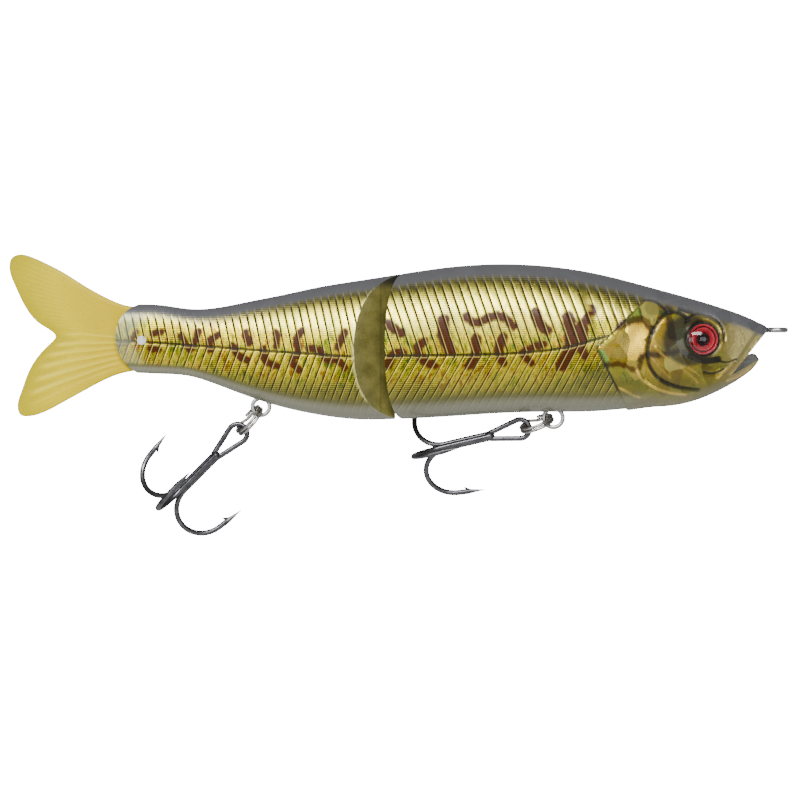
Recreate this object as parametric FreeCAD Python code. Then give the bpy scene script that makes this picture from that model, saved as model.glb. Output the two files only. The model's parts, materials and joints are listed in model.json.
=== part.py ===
import FreeCAD, Part
import math
import os

# A two-section hard-bodied swimbait with a soft forked tail and two treble hooks.
# Millimetres. +X points to the nose, +Z to the back, +Y to the fish's left.
# The origin is the centre of the line tie's hole. "Behind" is measured from the nose tip.

Vector = FreeCAD.Vector

# ---------------------------------------------------------------- driving dimensions
# body
front_length = 83.9          # nose tip to hinge axis
rear_length = 60.4           # hinge axis to the end of the hard tail stem
back_height = 14.6           # line tie level to the highest point of the back
belly_depth = 19.7           # line tie level to the lowest point of the belly
body_width = 20.8            # widest point of the body
wall = 1.6                   # moulded shell wall
flank_fullness = 0.61        # curve handle over reach: 0.55 is an ellipse, more is fuller
head_solid_length = 21.0     # moulded solid, nose tip to the front cavity
joint_solid_length = 15.0    # moulded solid each side of the hinge axis
stem_solid_length = 24.0     # moulded solid at the rear end

# joint
hinge_pin_radius = 0.9
hinge_pin_top_cover = 2.4    # plastic over the upper end of the pin
hinge_pin_bottom_cover = 2.6
knuckle_radius = 2.6
joint_gap = 0.4
wedge_angle = 53.5           # rear section's front faces, from square across
cup_angle = 23.5             # front section's rear faces, from square across
hinge_wire_radius = 0.7
hinge_eye_clearance = 0.08   # wire loop over the pin, radial
hinge_slot_clearance = 0.35  # slots over the wire loop, all round
hinge_eye_levels = (6.0, -12.0)
hinge_shank_length = 9.0

# mouth and eyes
mouth_corner = (8.6, -10.2)  # behind the nose, height
upper_lip_edge = (0.3, -0.3)
lower_lip_edge = (2.4, -6.6)
mouth_cut_reach = 6.0        # the wedge between the jaws runs this far ahead of the nose
tongue_points = ((8.6, -10.2), (4.4, -5.4), (3.1, -5.2), (2.2, -6.3), (3.0, -8.0))
tongue_half_width = 1.3
eye_behind = 14.7
eye_height = -2.1
eye_radius = 3.4
eye_depth = 1.5              # socket floor under the skin
eye_turn = 14.0              # the eyes look a little forward
eye_disc_thickness = 0.6
eye_dome_height = 1.3
eye_clearance = 0.05

# wire fittings
tie_wire_radius = 0.575
tie_hole_radius = 1.3
tie_reach = 1.9              # hole centre ahead of the nose tip
tie_shank_length = 17.0
anchor_loop_radius = 1.5
hanger_wire_radius = 0.48
front_hanger_ahead = 36.3    # hanger's hole ahead of the hinge axis
front_hanger_hang = 1.36     # hanger's hole below the belly at its place
front_hanger_hole = 1.62
rear_hanger_back = 28.3      # hanger's hole behind the hinge axis
rear_hanger_hang = 1.419
rear_hanger_hole = 1.4
hanger_shank_length = 5.5
boss_radius = 3.4
boss_over_anchor = 1.6

# ballast
weight_radius = 3.0
front_weight_gap = 5.9       # hanger's hole to the slug
front_weight_length = 13.0
rear_weight_gap = 4.7        # slug to the hanger's hole
rear_weight_length = 8.0
weight_floor_gap = 0.4       # ballast over the inner belly wall
rib_thickness = 1.5

# tail
tail_thickness = 1.8
tail_edge_thickness = 0.7
tail_length = 27.9           # visible root to the rearmost point
tail_slot_clearance = 0.1
tail_tongue_length = 5.4     # into the stem, from the visible root
tail_neck = 0.6              # the tongue widens to the fin this far behind the visible root
tail_tongue_top = 2.6
tail_tongue_bottom = -6.8
tail_pin_radius = 1.0
tail_pin_inset = 1.4         # ahead of the visible root
tail_pin_height = -2.3
tail_pin_proud = 0.15

# split rings and treble hooks
ring_radius = 3.62           # to the middle of the wire
ring_wire_radius = 0.36
ring_coil_gap = 0.04
ring_step = 32.0             # degrees round the ring that the step between the coils takes
ring_clocking = 125.0        # where the step sits, round from the hanger
ring_tilt = 14.0             # the ring's roll about its long way
hook_wire_radius = 0.6
hook_eye_hole = 1.5          # round end of the eye
hook_eye_length = 7.0        # middle of the round end to where the legs close
hook_length = 26.7           # end of the eye to the bottom of the bends
hook_bend_radius = 6.2
hook_bend_turn = 172.0
hook_point_straight = 2.2
hook_point_taper = 4.0
hook_point_end_radius = 0.05
hook_shank_offset = 0.6      # each of the three wires from the shank's middle
hook_braze_radius = 1.12     # drop of braze where the eye closes
barb_length = 2.0
barb_height = 0.7
barb_thickness = 0.5
barb_place = 0.35            # where the barb leaves the point, share of the taper
barb_heel = 0.7              # foot of the barb, share of its length
seat_slack = 0.34            # how far a ring is pulled off centre in an eye

# how the front and rear hooks lie: below level, leaning to the left, and turned about the shank
front_ring_lie = (19.0, 13.0)
front_hook_lie = (13.2, 10.0, 33.7)
rear_ring_lie = (49.0, 4.0)
rear_hook_lie = (45.0, 4.0, 25.0)

# ---------------------------------------------------------------- body outline
# Each row: share of the section's length, then shares of back_height, belly_depth and
# half the width at that place.
front_rows = (
    (0.000, 0.030, 0.030, 0.060),
    (0.009, 0.070, 0.150, 0.160),
    (0.026, 0.120, 0.355, 0.270),
    (0.060, 0.209, 0.503, 0.405),
    (0.107, 0.308, 0.629, 0.570),
    (0.167, 0.418, 0.751, 0.720),
    (0.238, 0.534, 0.838, 0.845),
    (0.334, 0.685, 0.868, 0.935),
    (0.453, 0.856, 0.909, 0.985),
    (0.572, 0.962, 0.916, 1.000),
    (0.703, 1.000, 0.930, 1.000),
    (0.834, 0.959, 0.965, 0.980),
    (1.000, 0.822, 1.000, 0.935),
)
rear_rows = (
    (0.118, 0.747, 1.000, 0.870),
    (0.250, 0.658, 0.954, 0.750),
    (0.391, 0.534, 0.863, 0.605),
    (0.523, 0.425, 0.736, 0.470),
    (0.647, 0.332, 0.594, 0.365),
    (0.730, 0.322, 0.518, 0.312),
    (0.829, 0.377, 0.492, 0.272),
    (1.000, 0.370, 0.470, 0.240),
)
stem_end_bulge = 4.4         # rounded end of the stem, corner to rearmost point
stem_end_rise = 0.6          # rearmost point over the middle of the stem

# Edges of the tail, root to tip: share of tail_length behind the visible root, height.
tail_upper_edge = ((0.011, 4.9), (0.233, 7.0), (0.581, 12.6), (0.864, 16.8))
tail_lower_edge = ((0.022, -9.1), (0.172, -10.7), (0.656, -17.5), (0.835, -19.2))
# Arcs of the fork, upper tip to lower tip: a point on the way and the end of each.
tail_fork_arcs = (
    ((0.978, 16.3), (1.000, 14.4)),
    ((0.914, 6.8), (0.660, -0.2)),
    ((0.620, -1.3), (0.660, -2.6)),
    ((0.853, -8.6), (0.925, -17.6)),
    ((0.907, -19.2), (0.835, -19.2)),
)

nose_x = -tie_reach
hinge_x = nose_x - front_length
stem_end = front_length + rear_length
tail_root = stem_end - stem_end_bulge
front_hanger_behind = front_length - front_hanger_ahead
rear_hanger_behind = front_length + rear_hanger_back
front_weight_behind = front_hanger_behind + front_weight_gap
rear_weight_behind = rear_hanger_behind - rear_weight_gap - rear_weight_length
tail_pin_behind = tail_root - tail_pin_inset
far = 60.0                   # wider than the body, for the shapes that cut it


def place(behind, y, z):
    """Point at a distance behind the nose tip."""
    return Vector(nose_x - behind, y, z)


def outline_rows():
    """All rows of the body as (behind, top, bottom, half width) in millimetres."""
    rows = []
    for share, top, bottom, width in front_rows:
        rows.append((share * front_length, top, bottom, width))
    for share, top, bottom, width in rear_rows:
        rows.append((front_length + share * rear_length, top, bottom, width))
    return [(s, t * back_height, -b * belly_depth, w * body_width / 2) for s, t, b, w in rows]


def body_at(behind):
    """Top, bottom and half width at a distance behind the nose tip, between two rows."""
    rows = outline_rows()
    for before, after in zip(rows, rows[1:]):
        if before[0] <= behind <= after[0]:
            part = (behind - before[0]) / (after[0] - before[0])
            return tuple(a + part * (b - a) for a, b in zip(before[1:], after[1:]))
    return rows[-1][1:]


front_hanger_drop = front_hanger_hang - body_at(front_hanger_behind)[1]
rear_hanger_drop = rear_hanger_hang - body_at(rear_hanger_behind)[1]


def quarter(behind, peak, middle, half_width):
    """Quarter outline from the centre line at the peak to the side at the middle."""
    reach = peak - middle
    curve = Part.BezierCurve()
    curve.setPoles([
        place(behind, 0, peak),
        place(behind, flank_fullness * half_width, peak),
        place(behind, half_width, middle + flank_fullness * reach),
        place(behind, half_width, middle),
    ])
    return curve


def skin_y(behind, z):
    """Half width of the skin at a height."""
    top, bottom, half_width = body_at(behind)
    middle = (top + bottom) / 2
    side = quarter(behind, top if z > middle else bottom, middle, half_width)
    low, high = 0.0, 1.0
    for _ in range(40):
        guess = (low + high) / 2
        nearer_side = abs(side.value(guess).z - middle) < abs(z - middle)
        low, high = (low, guess) if nearer_side else (guess, high)
    return side.value(low).y


def half_section(behind, top, bottom, half_width):
    """Closed outline across the left half of the body."""
    middle = (top + bottom) / 2
    upper = quarter(behind, top, middle, half_width).toShape()
    lower = quarter(behind, bottom, middle, half_width).toShape()
    closing = Part.LineSegment(place(behind, 0, bottom), place(behind, 0, top)).toShape()
    return Part.Wire([upper, lower.reversed(), closing])


def half_body():
    """Solid left half of the whole body, nose to stem."""
    sections = [half_section(*row) for row in outline_rows()]
    return Part.makeLoft(sections, True, False)


def half_cavity(start, end):
    """Left half of a hollow that leaves one wall of plastic round it."""
    sections = []
    inner = [row for row in outline_rows() if start < row[0] < end]
    rows = [(start,) + body_at(start)] + inner + [(end,) + body_at(end)]
    for behind, top, bottom, half_width in rows:
        sections.append(half_section(behind, top - wall, bottom + wall, half_width - wall))
    return Part.makeLoft(sections, True, False)


def prism_up(points):
    """Vertical prism over a closed plan outline."""
    face = Part.Face(Part.makePolygon([Vector(x, y, -far) for x, y in points + points[:1]]))
    return face.extrude(Vector(0, 0, 2 * far))


def space_behind_cup():
    """Everything behind the front section's rear face, left half."""
    turn = math.radians(cup_angle)
    start = hinge_x + (knuckle_radius + joint_gap) / math.cos(turn)
    side_x = start - far * math.tan(turn)
    back_x = nose_x - stem_end - far
    return prism_up([(start, -far), (start, 0), (side_x, far), (back_x, far), (back_x, -far)])


def rear_wedge():
    """Plan space of the rear section: two raked faces round a knuckle, left half."""
    turn = math.radians(wedge_angle)
    middle = Vector(hinge_x, 0, -far)
    front = middle + Vector(knuckle_radius, 0, 0)
    half_way = middle + Vector(math.cos(turn / 2), math.sin(turn / 2), 0) * knuckle_radius
    tangent = middle + Vector(math.cos(turn), math.sin(turn), 0) * knuckle_radius
    rake_end = tangent + Vector(-math.sin(turn), math.cos(turn), 0) * far
    back = Vector(nose_x - stem_end - far, rake_end.y, -far)
    centre = Vector(back.x, 0, -far)
    edges = [Part.Arc(front, half_way, tangent).toShape()]
    for start, end in ((tangent, rake_end), (rake_end, back), (back, centre), (centre, front)):
        edges.append(Part.LineSegment(start, end).toShape())
    return Part.Face(Part.Wire(edges)).extrude(Vector(0, 0, 2 * far))


def stem_end_space():
    """Side outline that rounds the end of the stem, as deep as the body is wide."""
    top, bottom, _ = body_at(stem_end)
    corner = stem_end - stem_end_bulge
    high = place(corner, -far, top)
    low = place(corner, -far, bottom)
    end = place(stem_end, -far, (top + bottom) / 2 + stem_end_rise)
    high_out = high + Vector(0, 0, far)
    low_out = low + Vector(0, 0, -far)
    ahead_low = Vector(far, -far, low_out.z)
    ahead_high = Vector(far, -far, high_out.z)
    edges = [Part.Arc(high, end, low).toShape()]
    for start, stop in ((low, low_out), (low_out, ahead_low), (ahead_low, ahead_high),
                        (ahead_high, high_out), (high_out, high)):
        edges.append(Part.LineSegment(start, stop).toShape())
    return Part.Face(Part.Wire(edges)).extrude(Vector(0, 2 * far, 0))


def mouth_tongue():
    """Ridge along the middle of the lower jaw that nearly closes the mouth, left half."""
    corner, rise, top, tip, foot = [place(behind, 0, height) for behind, height in tongue_points]
    edges = [Part.Arc(rise, top, tip).toShape()]
    for start, end in ((tip, foot), (foot, corner), (corner, rise)):
        edges.append(Part.LineSegment(start, end).toShape())
    return Part.Face(Part.Wire(edges)).extrude(Vector(0, tongue_half_width, 0))


def mouth_gap():
    """Open wedge between the jaws, beside and over the tongue."""
    def beyond(edge):
        reach = (mouth_corner[0] + mouth_cut_reach) / (mouth_corner[0] - edge[0])
        return place(-mouth_cut_reach, -far, mouth_corner[1] + reach * (edge[1] - mouth_corner[1]))
    corner = place(mouth_corner[0], -far, mouth_corner[1])
    upper = beyond(upper_lip_edge)
    lower = beyond(lower_lip_edge)
    face = Part.Face(Part.makePolygon([corner, upper, lower, corner]))
    return face.extrude(Vector(0, 2 * far, 0)).cut(mouth_tongue())


# ---------------------------------------------------------------- eyes

def eye_frame():
    """Middle of the left eye's socket floor, and the way the eye looks."""
    turn = math.radians(eye_turn)
    look = Vector(math.sin(turn), math.cos(turn), 0)
    skin = place(eye_behind, skin_y(eye_behind, eye_height), eye_height)
    return skin - look * eye_depth, look


def eye_socket():
    floor, look = eye_frame()
    return Part.makeCylinder(eye_radius + eye_clearance, 3 * eye_depth, floor, look)


def eye_disc():
    floor, look = eye_frame()
    return Part.makeCylinder(eye_radius, eye_disc_thickness, floor, look)


def eye_lens():
    """Clear domed lens that lies on the coloured disc."""
    floor, look = eye_frame()
    base = floor + look * eye_disc_thickness
    rim = eye_depth - eye_disc_thickness
    ball_radius = (eye_radius ** 2 + eye_dome_height ** 2) / (2 * eye_dome_height)
    puck = Part.makeCylinder(eye_radius, rim + eye_dome_height, base, look)
    ball = Part.makeSphere(ball_radius, base + look * (rim + eye_dome_height - ball_radius))
    return puck.common(ball)


# ---------------------------------------------------------------- wire fittings

def loop(centre, axis, radius, wire_radius):
    return Part.makeTorus(radius, wire_radius, centre, axis)


def line_tie():
    """Through-wire with the towing eye in front and an anchor loop in the head."""
    radius = tie_hole_radius + tie_wire_radius
    up = Vector(0, 0, 1)
    anchor = Vector(-radius - tie_shank_length - anchor_loop_radius, 0, 0)
    shank = Part.makeCylinder(tie_wire_radius, tie_shank_length, Vector(-radius, 0, 0), Vector(-1, 0, 0))
    eye = loop(Vector(0, 0, 0), up, radius, tie_wire_radius)
    return eye.fuse([shank, loop(anchor, up, anchor_loop_radius, tie_wire_radius)])


def hanger(behind, drop, hole):
    """Belly eye for a hook: a loop below the skin, a shank, and an anchor loop above."""
    radius = hole + hanger_wire_radius
    side = Vector(0, 1, 0)
    centre = place(behind, 0, -drop)
    top = centre + Vector(0, 0, radius)
    shank = Part.makeCylinder(hanger_wire_radius, hanger_shank_length, top, Vector(0, 0, 1))
    anchor = top + Vector(0, 0, hanger_shank_length + anchor_loop_radius)
    eye = loop(centre, side, radius, hanger_wire_radius)
    return eye.fuse([shank, loop(anchor, side, anchor_loop_radius, hanger_wire_radius)])


def hanger_boss(behind, drop, hole):
    """Moulded post that holds the hanger's shank and anchor."""
    shank_top = hole + 2 * hanger_wire_radius + hanger_shank_length - drop
    boss_top = shank_top + 2 * anchor_loop_radius + boss_over_anchor
    foot = place(behind, 0, -belly_depth)
    return Part.makeCylinder(boss_radius, boss_top + belly_depth, foot, Vector(0, 0, 1))


def hinge_eye(level):
    """Wire eye round the hinge pin, anchored in the front section."""
    radius = hinge_pin_radius + hinge_eye_clearance + hinge_wire_radius
    up = Vector(0, 0, 1)
    centre = Vector(hinge_x, 0, level)
    shank_start = centre + Vector(radius, 0, 0)
    shank = Part.makeCylinder(hinge_wire_radius, hinge_shank_length, shank_start, Vector(1, 0, 0))
    anchor = shank_start + Vector(hinge_shank_length + anchor_loop_radius, 0, 0)
    eye = loop(centre, up, radius, hinge_wire_radius)
    return eye.fuse([shank, loop(anchor, up, anchor_loop_radius, hinge_wire_radius)])


def hinge_slot(level):
    """Room for a hinge eye to turn in the rear section's knuckle."""
    radius = knuckle_radius + hinge_slot_clearance
    half = hinge_wire_radius + hinge_slot_clearance
    return Part.makeCylinder(radius, 2 * half, Vector(hinge_x, 0, level - half))


def hinge_pin():
    top, bottom, _ = body_at(front_length)
    low = bottom + hinge_pin_bottom_cover
    high = top - hinge_pin_top_cover
    return Part.makeCylinder(hinge_pin_radius, high - low, Vector(hinge_x, 0, low))


# ---------------------------------------------------------------- ballast

def weight_axis(behind, length):
    """Height of a ballast slug that lies along the belly."""
    bottoms = [body_at(behind)[1], body_at(behind + length)[1]]
    return max(bottoms) + wall + weight_floor_gap + weight_radius


def ballast(behind, length):
    level = weight_axis(behind, length)
    return Part.makeCylinder(weight_radius, length, place(behind, 0, level), Vector(-1, 0, 0))


def ballast_ribs(behind, length):
    """Two cradle ribs under a slug, as tall as its middle."""
    level = weight_axis(behind, length)
    ribs = []
    for start in (behind, behind + length - rib_thickness):
        corner = Vector(nose_x - start - rib_thickness, 0, level - 2 * belly_depth)
        ribs.append(Part.makeBox(rib_thickness, body_width, 2 * belly_depth, corner))
    return ribs


# ---------------------------------------------------------------- tail

def tail_outline():
    """Side outline of the soft tail with its tongue, from the upper root round to the lower root."""
    def tail_place(point):
        return place(tail_root + point[0] * tail_length, 0, point[1])
    upper_edge = Part.BSplineCurve()
    upper_edge.interpolate([tail_place(point) for point in tail_upper_edge])
    lower_edge = Part.BSplineCurve()
    lower_edge.interpolate([tail_place(point) for point in tail_lower_edge])
    edges = [upper_edge.toShape()]
    start = tail_place(tail_upper_edge[-1])
    for way, end in tail_fork_arcs:
        edges.append(Part.Arc(start, tail_place(way), tail_place(end)).toShape())
        start = tail_place(end)
    edges.append(lower_edge.toShape().reversed())
    corners = [
        tail_place(tail_lower_edge[0]),
        place(tail_root + tail_neck, 0, tail_tongue_bottom),
        place(tail_root - tail_tongue_length, 0, tail_tongue_bottom),
        place(tail_root - tail_tongue_length, 0, tail_tongue_top),
        place(tail_root + tail_neck, 0, tail_tongue_top),
        tail_place(tail_upper_edge[0]),
    ]
    for start, end in zip(corners, corners[1:]):
        edges.append(Part.LineSegment(start, end).toShape())
    return Part.Wire(edges)


def tail_plate(half_thickness):
    """The tail's side outline at one thickness."""
    face = Part.Face(tail_outline())
    face.translate(Vector(0, -half_thickness, 0))
    return face.extrude(Vector(0, 2 * half_thickness, 0))


def tail_pin():
    half = body_at(tail_pin_behind)[2] + tail_pin_proud
    end = place(tail_pin_behind, -half, tail_pin_height)
    return Part.makeCylinder(tail_pin_radius, 2 * half, end, Vector(0, 1, 0))


def soft_tail():
    """Forked plate that thins from the root to the trailing edge."""
    root_half = tail_thickness / 2
    edge_half = tail_edge_thickness / 2
    full_x = nose_x - stem_end
    end_x = full_x + stem_end_bulge - tail_length
    plan = [(hinge_x, root_half), (full_x, root_half), (end_x, edge_half),
            (end_x, -edge_half), (full_x, -root_half), (hinge_x, -root_half)]
    return tail_plate(tail_thickness).common(prism_up(plan)).cut(tail_pin())


# ---------------------------------------------------------------- rings and hooks

def lie(shape, below_level, lean):
    """Turn a piece that points backwards and level to how it lies."""
    shape.rotate(Vector(0, 0, 0), Vector(0, 0, 1), -lean)
    shape.rotate(Vector(0, 0, 0), Vector(0, 1, 0), -below_level)
    return shape


def lie_direction(below_level, lean):
    down = math.radians(below_level)
    side = math.radians(lean)
    return Vector(-math.cos(side) * math.cos(down), math.sin(side), -math.cos(side) * math.sin(down))


def ring_places(behind, drop, ring_lie):
    """Where a ring's wire crosses its hanger, its middle, and where it crosses the hook eye."""
    along = lie_direction(*ring_lie)
    first = place(behind, 0, -drop) + along * seat_slack
    return first, first + along * ring_radius, first + along * 2 * ring_radius


def ring_arc(level, start, turn):
    """Part of one coil, from a start angle through a turn, with its end rounded."""
    middle = Vector(ring_radius, 0, level)
    arc = Part.Face(Part.Wire(Part.Circle(middle, Vector(0, 1, 0), ring_wire_radius).toShape()))
    arc = arc.revolve(Vector(0, 0, level), Vector(0, 0, 1), turn)
    arc.rotate(Vector(0, 0, 0), Vector(0, 0, 1), start)
    return arc


def ring_point(level, angle):
    turn = math.radians(angle)
    return Vector(ring_radius * math.cos(turn), ring_radius * math.sin(turn), level)


def split_ring(behind, drop, ring_lie):
    """Two close coils of spring wire, joined by a short step from one to the other."""
    level = ring_wire_radius + ring_coil_gap / 2
    step_start = ring_point(-level, 360 - ring_step)
    step_end = ring_point(level, 0)
    rise = step_end - step_start
    step = Part.makeCylinder(ring_wire_radius, rise.Length, step_start, rise)
    ring = ring_arc(-level, 0, 360 - ring_step).fuse([
        step,
        Part.makeSphere(ring_wire_radius, step_start),
        Part.makeSphere(ring_wire_radius, step_end),
        ring_arc(level, 0, 360 - ring_step),
    ])
    ring.rotate(Vector(0, 0, 0), Vector(0, 0, 1), ring_clocking)
    ring.rotate(Vector(0, 0, 0), Vector(1, 0, 0), ring_tilt)
    lie(ring, *ring_lie)
    ring.translate(ring_places(behind, drop, ring_lie)[1])
    return ring


def hook_bend():
    """One wire of a treble hook: shank, round bend, tapered point and barb, bend downwards."""
    bend_start = hook_length - hook_eye_hole - 3 * hook_wire_radius - hook_bend_radius
    shank_start = hook_eye_length - hook_wire_radius / 2
    start = Vector(-shank_start, 0, -hook_shank_offset)
    turn_start = Vector(-bend_start, 0, -hook_shank_offset)
    middle = turn_start - Vector(0, 0, hook_bend_radius)
    shank = Part.makeCylinder(hook_wire_radius, bend_start - shank_start, start, Vector(-1, 0, 0))
    section = Part.Face(Part.Wire(Part.Circle(turn_start, Vector(1, 0, 0), hook_wire_radius).toShape()))
    bend = section.revolve(middle, Vector(0, -1, 0), hook_bend_turn)
    turn = math.radians(hook_bend_turn)
    point_start = middle + Vector(-math.sin(turn), 0, math.cos(turn)) * hook_bend_radius
    along = Vector(-math.cos(turn), 0, -math.sin(turn))
    inward = Vector(-along.z, 0, along.x)
    straight = Part.makeCylinder(hook_wire_radius, hook_point_straight, point_start, along)
    taper_start = point_start + along * hook_point_straight
    taper = Part.makeCone(hook_wire_radius, hook_point_end_radius, hook_point_taper, taper_start, along)
    root = taper_start + along * (hook_point_taper * barb_place)
    tip = root - along * barb_length + inward * (hook_wire_radius + barb_height)
    heel = root - along * (barb_heel * barb_length)
    offset = Vector(0, barb_thickness / 2, 0)
    barb = Part.Face(Part.makePolygon([root - offset, tip - offset, heel - offset, root - offset]))
    return shank.fuse([bend, straight, taper, barb.extrude(offset * 2)])


def hook_eye():
    """Long teardrop eye: a round front and two legs that close onto the shank."""
    middle = hook_eye_hole + hook_wire_radius
    # the legs leave the round part at the turn where they just reach the shank's wires
    slope = 0.0
    for _ in range(20):
        slope = math.asin((middle - hook_shank_offset * math.cos(slope)) / hook_eye_length)
    start = Vector(-middle * math.sin(slope), 0, middle * math.cos(slope))
    end = Vector(-hook_eye_length, 0, hook_shank_offset)
    leg = Part.makeCylinder(hook_wire_radius, (end - start).Length, start, end - start)
    section = Part.Face(Part.Wire(Part.Circle(start, end - start, hook_wire_radius).toShape()))
    front = section.revolve(Vector(0, 0, 0), Vector(0, 1, 0), 180 + 2 * math.degrees(slope))
    other_leg = leg.mirror(Vector(0, 0, 0), Vector(0, 0, 1))
    braze = Part.makeSphere(hook_braze_radius, Vector(-hook_eye_length, 0, 0))
    return front.fuse([leg, other_leg, braze])


def treble_hook(behind, drop, ring_lie, hook_lie):
    """Three brazed wires with one eye."""
    below_level, lean, turn = hook_lie
    pieces = []
    for step in range(3):
        bend = hook_bend()
        bend.rotate(Vector(0, 0, 0), Vector(1, 0, 0), turn + 120 * step)
        pieces.append(bend)
    hook = hook_eye().fuse(pieces)
    lie(hook, below_level, lean)
    seat = ring_places(behind, drop, ring_lie)[2]
    hook.translate(seat + lie_direction(below_level, lean) * seat_slack)
    return hook


# ---------------------------------------------------------------- shells

def front_half():
    """Left shell of the front section."""
    body = half_body()
    cavity = half_cavity(head_solid_length, front_length - joint_solid_length)
    boss = hanger_boss(front_hanger_behind, front_hanger_drop, front_hanger_hole)
    for kept in [boss] + ballast_ribs(front_weight_behind, front_weight_length):
        cavity = cavity.cut(kept)
    shell = body.cut(space_behind_cup())
    shell = shell.cut(cavity)
    shell = shell.cut(mouth_gap())
    shell = shell.cut(eye_socket())
    for inner in (line_tie(), hinge_eye(hinge_eye_levels[0]), hinge_eye(hinge_eye_levels[1]),
                  hanger(front_hanger_behind, front_hanger_drop, front_hanger_hole),
                  ballast(front_weight_behind, front_weight_length)):
        shell = shell.cut(inner)
    return shell


def rear_half():
    """Left shell of the rear section."""
    body = half_body()
    cavity = half_cavity(front_length + joint_solid_length, stem_end - stem_solid_length)
    boss = hanger_boss(rear_hanger_behind, rear_hanger_drop, rear_hanger_hole)
    for kept in [boss] + ballast_ribs(rear_weight_behind, rear_weight_length):
        cavity = cavity.cut(kept)
    shell = body.common(rear_wedge())
    shell = shell.common(stem_end_space())
    shell = shell.cut(cavity)
    for level in hinge_eye_levels:
        shell = shell.cut(hinge_slot(level))
    slot = tail_plate(tail_thickness / 2 + tail_slot_clearance)
    for inner in (hinge_pin(), slot, tail_pin(),
                  hanger(rear_hanger_behind, rear_hanger_drop, rear_hanger_hole),
                  ballast(rear_weight_behind, rear_weight_length)):
        shell = shell.cut(inner)
    return shell


def other_side(shape):
    """The same piece on the right side."""
    return shape.mirror(Vector(0, 0, 0), Vector(0, 1, 0))


def save(name, shape):
    if len(shape.Solids) == 1:
        shape = shape.Solids[0]
    shape.exportStep(os.path.join("parts", name + ".step"))
    print(name, len(shape.Solids), round(shape.Volume, 2), shape.isValid())
    return shape


def main():
    os.makedirs("parts", exist_ok=True)
    front = front_half()
    rear = rear_half()
    save("front_shell_left", front)
    save("front_shell_right", other_side(front))
    save("rear_shell_left", rear)
    save("rear_shell_right", other_side(rear))
    save("eye_disc_left", eye_disc())
    save("eye_disc_right", other_side(eye_disc()))
    save("eye_lens_left", eye_lens())
    save("eye_lens_right", other_side(eye_lens()))
    save("line_tie", line_tie())
    save("hinge_eye_upper", hinge_eye(hinge_eye_levels[0]))
    save("hinge_eye_lower", hinge_eye(hinge_eye_levels[1]))
    save("hinge_pin", hinge_pin())
    save("front_hook_hanger", hanger(front_hanger_behind, front_hanger_drop, front_hanger_hole))
    save("rear_hook_hanger", hanger(rear_hanger_behind, rear_hanger_drop, rear_hanger_hole))
    save("front_belly_weight", ballast(front_weight_behind, front_weight_length))
    save("rear_belly_weight", ballast(rear_weight_behind, rear_weight_length))
    save("tail_pin", tail_pin())
    save("soft_tail", soft_tail())
    save("front_split_ring", split_ring(front_hanger_behind, front_hanger_drop, front_ring_lie))
    save("rear_split_ring", split_ring(rear_hanger_behind, rear_hanger_drop, rear_ring_lie))
    front_hook = treble_hook(front_hanger_behind, front_hanger_drop, front_ring_lie, front_hook_lie)
    rear_hook = treble_hook(rear_hanger_behind, rear_hanger_drop, rear_ring_lie, rear_hook_lie)
    save("front_treble_hook", front_hook)
    save("rear_treble_hook", rear_hook)


main()
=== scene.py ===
"""Finish of a two-section swimbait: engraved foil skins, soft tail, eyes and plated wire."""
import json
import math

import bpy
import numpy as np
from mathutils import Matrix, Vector


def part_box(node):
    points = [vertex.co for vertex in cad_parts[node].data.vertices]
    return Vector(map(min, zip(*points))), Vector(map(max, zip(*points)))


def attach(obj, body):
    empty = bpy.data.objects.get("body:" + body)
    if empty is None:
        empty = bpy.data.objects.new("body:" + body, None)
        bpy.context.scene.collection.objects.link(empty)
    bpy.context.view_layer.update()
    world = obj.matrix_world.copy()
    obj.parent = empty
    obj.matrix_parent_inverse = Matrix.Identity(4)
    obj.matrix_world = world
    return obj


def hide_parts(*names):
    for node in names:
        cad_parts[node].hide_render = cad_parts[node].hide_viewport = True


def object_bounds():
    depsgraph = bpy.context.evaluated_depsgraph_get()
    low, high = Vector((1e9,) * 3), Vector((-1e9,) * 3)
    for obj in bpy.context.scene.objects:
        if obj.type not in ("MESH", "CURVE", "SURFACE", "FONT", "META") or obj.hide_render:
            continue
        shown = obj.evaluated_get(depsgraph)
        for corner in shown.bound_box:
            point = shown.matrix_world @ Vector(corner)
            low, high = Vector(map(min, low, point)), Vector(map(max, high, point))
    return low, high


bl_info = {
    "name": "Swimbait Finish",
    "version": (1, 0, 0),
    "blender": (4, 5, 0),
    "location": "View3D > Sidebar > Swimbait",
    "description": "Builds the engraved skins, soft tail and finishes round the swimbait's frame",
    "category": "Object",
}

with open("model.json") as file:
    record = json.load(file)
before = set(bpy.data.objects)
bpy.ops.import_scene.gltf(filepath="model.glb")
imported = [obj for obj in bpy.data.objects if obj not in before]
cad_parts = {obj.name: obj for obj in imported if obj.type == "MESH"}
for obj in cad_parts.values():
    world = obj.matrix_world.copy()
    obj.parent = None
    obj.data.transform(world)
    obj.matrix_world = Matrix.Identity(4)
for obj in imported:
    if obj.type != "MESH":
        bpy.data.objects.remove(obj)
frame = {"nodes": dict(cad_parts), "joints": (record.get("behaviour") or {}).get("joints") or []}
CAD_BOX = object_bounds()

MM = 0.001

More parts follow.
